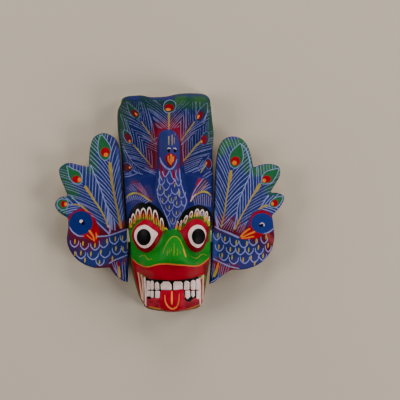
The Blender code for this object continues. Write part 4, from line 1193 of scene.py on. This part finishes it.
print("mask:", face.count, "strokes")

# %% [markdown]
# ## Carving the small forms
#
# The paint follows cuts of the knife: rolled eyelids, a step round each tooth, a ridge on
# the brow. The distances that place the paint place these too, so form and colour stay
# together. Points that look forward are moved along the height by a millimetre at most,
# which is how a sculpting brush would do it.

# %% Cut the relief
RIM_HEIGHT, WHITE_DEPTH = 0.7, 0.45
BROW_HEIGHT, LASH_HEIGHT = 0.5, 0.3
TOOTH_HEIGHT, FANG_HEIGHT = 0.7, 0.6
LIP_HEIGHT, TONGUE_LINE_DEPTH = 0.5, 0.4
BEAK_HEIGHT, BIRD_EDGE_HEIGHT = 0.4, 0.25
FACET_HEIGHT = 0.28
PIECES = (
    (mask, "carved_mask", "painted_mask"),
    (left_board, "left_peacock_board", "painted_boards"),
    (right_board, "right_peacock_board", "painted_boards"))


def step(field, width):
    """An eased step, centred on the edge of a field and as wide as stated."""
    return smooth(field / width + 0.5)


relief = np.zeros(len(face.x))
for rim, white in zip(rims, whites):
    relief += RIM_HEIGHT * step(rim, 1.4) - WHITE_DEPTH * step(white, 1.2)
relief += BROW_HEIGHT * step(brow_field, 1.6) * (1 - step(np.maximum(*rims), 1.0))
relief += LASH_HEIGHT * step(face.coats["white"], 1.0) * step(brow_field - 0.5, 1.0)
for shape in teeth:
    relief += TOOTH_HEIGHT * smooth(shape / 2.0 + 0.15)
for shape in fangs:
    relief += FANG_HEIGHT * smooth(shape / 2.2 + 0.2)
relief += (LIP_HEIGHT * step(lip, 1.4)
           - TONGUE_LINE_DEPTH * step(face.coats["orange"], 1.2) * step(tongue, 1.0))
relief += BEAK_HEIGHT * step(beak, 1.2)
relief += BIRD_EDGE_HEIGHT * step(0.9 - np.abs(bird), 1.2)
relief += FACET_HEIGHT * np.array([
    noise.noise((x * 0.07, y * 0.05, z * 0.05)) + 0.5 * noise.noise((x * 0.2, y * 0.13, 9.0))
    for x, y, z in face.place])
relief *= smooth((face.facing - 0.2) / 0.4)
carved = points_of(mask)
carved[:, 2] += relief * MM
mask.data.vertices.foreach_set("co", carved.ravel())
for piece, node, _ in PIECES:
    inside = np.clip(points_of(piece), *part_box(node))
    piece.data.vertices.foreach_set("co", inside.ravel())
    piece.data.update()
print("relief in mm:", round(relief.min(), 2), "to", round(relief.max(), 2))

# %% [markdown]
# ## What the brush doesn't reach
#
# Strokes stop where the wood turns away from the painter. The walls of the block have a
# thin dark coat, the edges of the boards a violet one, and the back and the boards'
# plugs are bare wood. The back is told by how far a face looks down, so the steep walls
# of the hollow aren't found: they keep the dark coat and some paint of the face, where
# the real ones would be bare. Corners that hands rub are marked too, for a little wear.

# %% Walls, backs and wear
PAINTED = COATS[:-2]
WALL_STARTS, WALL_EASES = 0.42, 0.3
WALL_COAT = 0.85
BEHIND = -0.35
BOARD_BACK, MASK_BACK = 12.9, 2.2
RUBBED, RUBBED_SPREAD = 0.55, 0.25
CROWN_LOW, JAW_TOP = 56, -50
PLUG_ENDS = (32, 49)
PLUG_LOW, PLUG_HIGH = -46.5, -20
LEFT_SHOULDER, RIGHT_SHOULDER = -43.1, 41.2


def finish_edges(work, wall, back_line):
    """Fades strokes off the walls, coats the walls, and bares the back."""
    turned = np.clip((WALL_STARTS - work.facing) / WALL_EASES, 0, 1)
    for name in PAINTED:
        work.coats[name] -= turned * 2.5
    side = smooth(turned)[:, None] * WALL_COAT
    work.ground = work.ground * (1 - side) + wall(work) * side
    ragged = np.array([
        noise.noise(Vector(p) * 0.12) + 0.4 * noise.noise(Vector(p) * 0.6) for p in work.place])
    below = back_line - work.place[:, 2] + 2.2 * ragged
    behind = np.where(work.facing < BEHIND, -work.facing * 6, below)
    work.coats["bare"] = np.clip(np.maximum(behind, work.coats["bare"]), NO_PAINT, 3)
    corner = 3 * (RUBBED_SPREAD - np.abs(work.facing - RUBBED))
    work.coats["rub"] = np.clip(corner + 1.2 * ragged, -2, 2)


def board_wall(work):
    """One violet all round."""
    return np.tile(pigment(34, 34, 92), (len(work.x), 1))


def mask_wall(work):
    """Night blue, green round the crown, and olive to brown along the jaw."""
    green = smooth((work.y - CROWN_LOW) / 14)[:, None] * 0.8
    wall = NIGHT * (1 - green) + pigment(16, 50, 36) * green
    jaw = smooth((JAW_TOP - work.y) / 5)[:, None]
    rightness = smooth((work.x[:, None] + 16) / 32)
    rail = pigment(92, 64, 44) * rightness + pigment(60, 72, 36) * (1 - rightness)
    return wall * (1 - jaw) + rail * jaw


def bare_plug(work, outward, to_shoulder):
    """Bares the tongue that goes into the mask. Outward is -1 to the left and 1 to the right."""
    near, far = PLUG_ENDS
    plug = np.minimum(np.minimum(outward * work.x - near, far - outward * work.x), 6)
    inside = (work.y > PLUG_LOW) & (work.y < PLUG_HIGH)
    work.coats["bare"] = np.where(inside, np.minimum(plug, to_shoulder * 2), NO_PAINT)


bare_plug(left, -1, left.x - LEFT_SHOULDER)
bare_plug(right, 1, RIGHT_SHOULDER - right.x)
face.stroke("bare", [(41.1, -28), (41.4, -33), (41.1, -39)], (0.3, 0.5, 0.3))
finish_edges(left, board_wall, BOARD_BACK)
finish_edges(right, board_wall, BOARD_BACK)
finish_edges(face, mask_wall, MASK_BACK)
bare_points = [int((work.coats["bare"] > 0).sum()) for work in (left, right, face)]
print("bare wood on", bare_points, "points")

# %% [markdown]
# ## Handing the coats to the material
#
# A mesh attribute carries one number or a few for every point. Three coats share one
# vector attribute, so fifteen coats need five, and the ground is a colour attribute. First
# each quad is cut in two on the diagonal that runs with the strokes, so their edges don't
# come out as saw teeth.

# %% Cut the quads and store the coats
COAT_SETS = [COATS[i:i + 3] for i in range(0, len(COATS), 3)]


def cut_along_strokes(work):
    """Splits every quad on the diagonal whose ends are painted more alike."""
    faces = work.piece.data.polygons
    fields = np.column_stack([np.clip(work.coats[name], -1, 1) for name in COATS])
    is_quad = np.array([len(face.vertices) == 4 for face in faces])
    corners = np.array([tuple(face.vertices) if quad else (0, 0, 0, 0)
                        for face, quad in zip(faces, is_quad)])
    first, second = (
        np.abs(fields[corners[:, k]] - fields[corners[:, k + 2]]).sum(1) for k in (0, 1))
    edit(work.piece, "polygons", is_quad & (first <= second), bpy.ops.mesh.quads_convert_to_tris,
         quad_method="FIXED")
    edit(work.piece, "polygons", everything(work.piece, "polygons"),
         bpy.ops.mesh.quads_convert_to_tris, quad_method="FIXED_ALTERNATE")
    print(f"{work.piece.name}: {is_quad.sum()} quads cut,",
          (is_quad & (first > second)).sum(), "the other way")


def store(work):
    """Writes the ground and the coats to the mesh, one value a point."""
    layers = work.piece.data.attributes
    ground = np.column_stack((np.clip(work.ground, 0, 1), np.ones(len(work.x))))
    layers.new("ground", "FLOAT_COLOR", "POINT").data.foreach_set("color", ground.ravel())
    for n, names in enumerate(COAT_SETS):
        coats = np.column_stack([np.clip(work.coats[name], NO_PAINT, -NO_PAINT) for name in names])
        layer = layers.new(f"coats_{n}", "FLOAT_VECTOR", "POINT")
        layer.data.foreach_set("vector", coats.ravel())


for work in (left, right, face):
    cut_along_strokes(work)
    store(work)

# %% [markdown]
# ## The enamel
#
# The paint is household enamel brushed on by hand: satin, a little uneven in tone, thick
# enough for each stroke to catch the light, and rubbed to the wood at a few corners. Its
# node tree is long, so a small class lets us write the mask arithmetic as plain Python.

# %% Shader helpers
class Wire:
    """A socket that understands + - * and turns them into Math nodes."""

    def __init__(self, tree, socket):
        self.tree, self.socket = tree, socket

    def _math(self, operation, a, b, clamp=False):
        settings = {"operation": operation, "use_clamp": clamp}
        return self.tree.add("ShaderNodeMath", settings, {0: a, 1: b})

    def __add__(self, other):
        return self._math("ADD", self, other)

    def __sub__(self, other):
        return self._math("SUBTRACT", self, other)

    def __rsub__(self, other):
        return self._math("SUBTRACT", other, self)

    def __mul__(self, other):
        return self._math("MULTIPLY", self, other)

    __radd__, __rmul__ = __add__, __mul__

    def clamped(self):
        return self._math("ADD", self, 0.0, clamp=True)

    def at_least(self, other):
        return self._math("MAXIMUM", self, other)


class Finish:
    """One material and the nodes that make it."""

    def __init__(self, name):
        self.material = bpy.data.materials.new(name)
        self.material.use_nodes = True
        self.nodes, self.links = self.material.node_tree.nodes, self.material.node_tree.links
        self.nodes.clear()

    def add(self, kind, settings=None, values=None, out=(0,)):
        """Any node: settings first, then the values or links of its sockets."""
        node = self.nodes.new(kind)
        for key, value in (settings or {}).items():
            setattr(node, key, value)
        for key, value in (values or {}).items():
            if isinstance(value, Wire):
                self.links.new(value.socket, node.inputs[key])
            else:
                node.inputs[key].default_value = value
        wires = [Wire(self, node.outputs[name]) for name in out]
        return wires[0] if len(wires) == 1 else wires

    def attribute(self, name, out):
        return self.add("ShaderNodeAttribute", {"attribute_name": name}, out=(out,))

    def noise(self, scale, detail, stretch=None):
        """Noise of so many waves a metre, stretched along the axes if wished."""
        where = self.add("ShaderNodeTexCoord", out=("Object",))
        if stretch:
            where = self.add("ShaderNodeMapping", None, {"Vector": where, "Scale": stretch})
        values = {"Vector": where, "Scale": scale, "Detail": detail}
        return self.add("ShaderNodeTexNoise", None, values)

    def mix(self, factor, a, b, blend="MIX"):
        """Colours a and b mixed. Mix keeps its colour sockets at 6 and 7 and the result at 2."""
        return self.add("ShaderNodeMix", {"data_type": "RGBA", "blend_type": blend},
                        {0: factor, 6: a, 7: b}, out=(2,))

    def spread(self, value, *limits):
        """A value that ran between the first two limits, made to run between the last two."""
        return self.add("ShaderNodeMapRange", None, dict(enumerate((value, *limits))))

    def surface(self, values):
        """The shader and the output, which end the tree."""
        shader = self.add("ShaderNodeBsdfPrincipled", None, values)
        self.add("ShaderNodeOutputMaterial", None, {"Surface": shader}, out=())


def rgba(colour):
    return (*[float(c) for c in mixed(colour)], 1.0)


print("a colour for a socket:", [round(c, 3) for c in rgba(BLUE)])

# %% Build the enamel
PAINTS = {
    "leaf": (32, 90, 52),
    "black": (5, 8, 9),
    "red": (142, 8, 26),
    "tan": (198, 160, 138),
    "white": (240, 215, 208),
    "ink": (8, 7, 9),
    "scarlet": (174, 0, 40),
    "mist": (146, 148, 202),
    "pale": (148, 154, 216),
    "ochre": (162, 138, 48),
    "yellow": (164, 142, 44),
    "orange": (212, 112, 36),
    "coral": (248, 128, 52),
}
MASK_PAINTS = {
    **PAINTS,
    "red": (116, 6, 26),
    "leaf": (24, 58, 44),
    "ochre": (150, 132, 66),
    "yellow": (146, 142, 40),
    "orange": (200, 106, 44),
}
GROUND_IN_TONE = {"white": 0.22, "scarlet": 0.92, "mist": 0.55, "pale": 0.32, "ochre": 0.12}
THIN_COATS = ("mist", "pale", "ochre")
RAGGED_COATS = (*THIN_COATS, "yellow")
COAT_SHARPNESS = 6
BARE_SHARPNESS = 3
RUB_SHARPNESS = 4
RUB_START = 1.7
IOR = 1.5
SPECULAR = 0.05


def coat_fields(f):
    """One wire a coat, out of the vectors that hold them by threes."""
    fields = {}
    for n, names in enumerate(COAT_SETS):
        layer = f.attribute(f"coats_{n}", "Vector")
        fields.update(zip(names, f.add("ShaderNodeSeparateXYZ", None, {0: layer}, out=(0, 1, 2))))
    return fields


def enamel(name, thinned, paints):
    """Ground, then coat over coat, then wear to the wood, then sheen and bump."""
    f = Finish(name)
    ground = f.attribute("ground", "Color")
    fields = coat_fields(f)
    wobble = (f.noise(700, 2) - 0.5) * 0.5
    patch = f.noise(160, 3)
    streak = f.noise(500, 3, (1, 0.25, 1))
    grain = f.noise(420, 4, (1, 0.05, 1))

    colour = f.mix((patch - 0.35).clamped() * 0.5, ground, rgba(BLUE * 0.5), "MULTIPLY")
    body = None
    for coat, paint in paints.items():
        ragged = 0.5 if coat in RAGGED_COATS else 0.3
        cover = ((fields[coat] + wobble * ragged) * COAT_SHARPNESS + 0.5).clamped()
        tone = rgba(paint)
        if coat in GROUND_IN_TONE:
            tone = f.mix(GROUND_IN_TONE[coat], tone, ground)
        strength = cover * (streak * 0.5 + thinned).clamped() if coat in THIN_COATS else cover
        colour = f.mix(strength, colour, tone)
        body = cover if body is None else body.at_least(cover)
    shade = f.spread(patch * 0.6 + streak * 0.4, 0.25, 0.75, 0.78, 1.18)
    shaded = f.add("ShaderNodeVectorMath", {"operation": "SCALE"}, {0: colour, "Scale": shade})

    wood = f.mix(grain, rgba(WOOD * 0.72), rgba(WOOD * 1.05))
    bare = ((fields["bare"] + wobble) * BARE_SHARPNESS + 0.5).clamped()
    rub = ((fields["rub"] - RUB_START + (streak - 0.5) * 2.0) * RUB_SHARPNESS).clamped() * 0.7
    worn = bare.at_least(rub)
    final = f.mix(worn, shaded, wood)

    rough = f.spread(streak, 0.2, 0.8, 0.36, 0.52) + worn * 0.25
    height = body * 0.07 + (streak - 0.5) * 0.06 + (grain - 0.5) * 0.05 - worn * 0.06
    bump = f.add("ShaderNodeBump", None, {"Strength": 1.0, "Distance": MM, "Height": height})
    f.surface({"Base Color": final, "Roughness": rough, "Normal": bump, "IOR": IOR,
               "Specular IOR Level": SPECULAR})
    print(f"{name}: {len(f.nodes)} nodes")
    return f.material


mask.data.materials.append(enamel("mask_enamel", 0.56, MASK_PAINTS))
board_enamel = enamel("board_enamel", 0.68, PAINTS)
for board in (left_board, right_board):
    board.data.materials.append(board_enamel)

# %% Set the pieces in the frame
for piece, node, slot in PIECES:
    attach(piece, ROOT)
    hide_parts(node)
    print(piece.name, "stands for", node)

# %% [markdown]
# ## The studio
#
# The mask lies on its back on a pale floor, and a long lens looks down on it from a touch
# to the left. Five soft warm screens stand low round it, the strongest at the lower right,
# so the shadows are wide and faint on every side. A little blue room light fills them.

# %% Floor
FLOOR_SIZE = 6
bpy.ops.mesh.primitive_plane_add(size=FLOOR_SIZE)
floor = bpy.context.object
floor.name = "studio_floor"
paper = Finish("floor_paper")
cloud = paper.noise(3, 3)
tone = paper.mix(cloud, rgba((188, 175, 157)), rgba((194, 181, 164)))
paper.surface({"Base Color": tone, "Roughness": 0.85})
floor.data.materials.append(paper.material)
print("floor:", FLOOR_SIZE, "m wide")

# %% Lights
SCREEN_SIZE = 1.0
SCREEN_HEIGHT = 0.96
SCREEN_COLOUR = (1.0, 0.97, 0.93)
SCREENS = (
    ("right_screen", 1.57, 0.90, 20),
    ("left_screen", -1.81, 0.10, 26),
    ("top_screen", 0.0, 1.81, 23),
    ("upper_left_screen", -1.57, 0.90, 8),
    ("low_right_screen", 1.6, -0.85, 31))
ROOM_COLOUR = (0.8, 0.87, 1.0, 1)
ROOM_STRENGTH = 0.05
for name, x, y, power in SCREENS:
    lamp = bpy.data.lights.new(name, "AREA")
    lamp.shape, lamp.size, lamp.energy, lamp.color = "DISK", SCREEN_SIZE, power, SCREEN_COLOUR
    screen = bpy.data.objects.new(name, lamp)
    screen.location = (x, y, SCREEN_HEIGHT)
    screen.rotation_euler = (-Vector((x, y, SCREEN_HEIGHT))).to_track_quat("-Z", "Y").to_euler()
    bpy.context.scene.collection.objects.link(screen)
world = bpy.data.worlds.new("room")
world.use_nodes = True
room = world.node_tree.nodes["Background"]
room.inputs["Color"].default_value = ROOM_COLOUR
room.inputs["Strength"].default_value = ROOM_STRENGTH
bpy.context.scene.world = world
print(len(SCREENS), "screens,", sum(row[3] for row in SCREENS), "W together")

# %% Camera
DISTANCE = 4.0
SENSOR = 36.0
FIELD = 0.4
SEES_AS_FAR_AS = 20
AIM_RIGHT, AIM_UP = 0.030, 0.0025
right_way = Vector((math.cos(SIGHT_ANGLE), 0, math.sin(SIGHT_ANGLE)))
up_way = Vector((0, 1, 0))
back_way = right_way.cross(up_way)
aim = Vector((0, AIM_UP, SIGHT_HEIGHT * MM)) + right_way * AIM_RIGHT
lens = bpy.data.cameras.new("lens")
lens.sensor_width, lens.lens, lens.clip_end = SENSOR, SENSOR * DISTANCE / FIELD, SEES_AS_FAR_AS
camera = bpy.data.objects.new("camera", lens)
camera.matrix_world = Matrix.Translation(aim + back_way * DISTANCE) @ Matrix(
    (right_way, up_way, back_way)).transposed().to_4x4()
bpy.context.scene.collection.objects.link(camera)
bpy.context.scene.camera = camera
print("lens:", round(lens.lens), "mm,", DISTANCE, "m away")
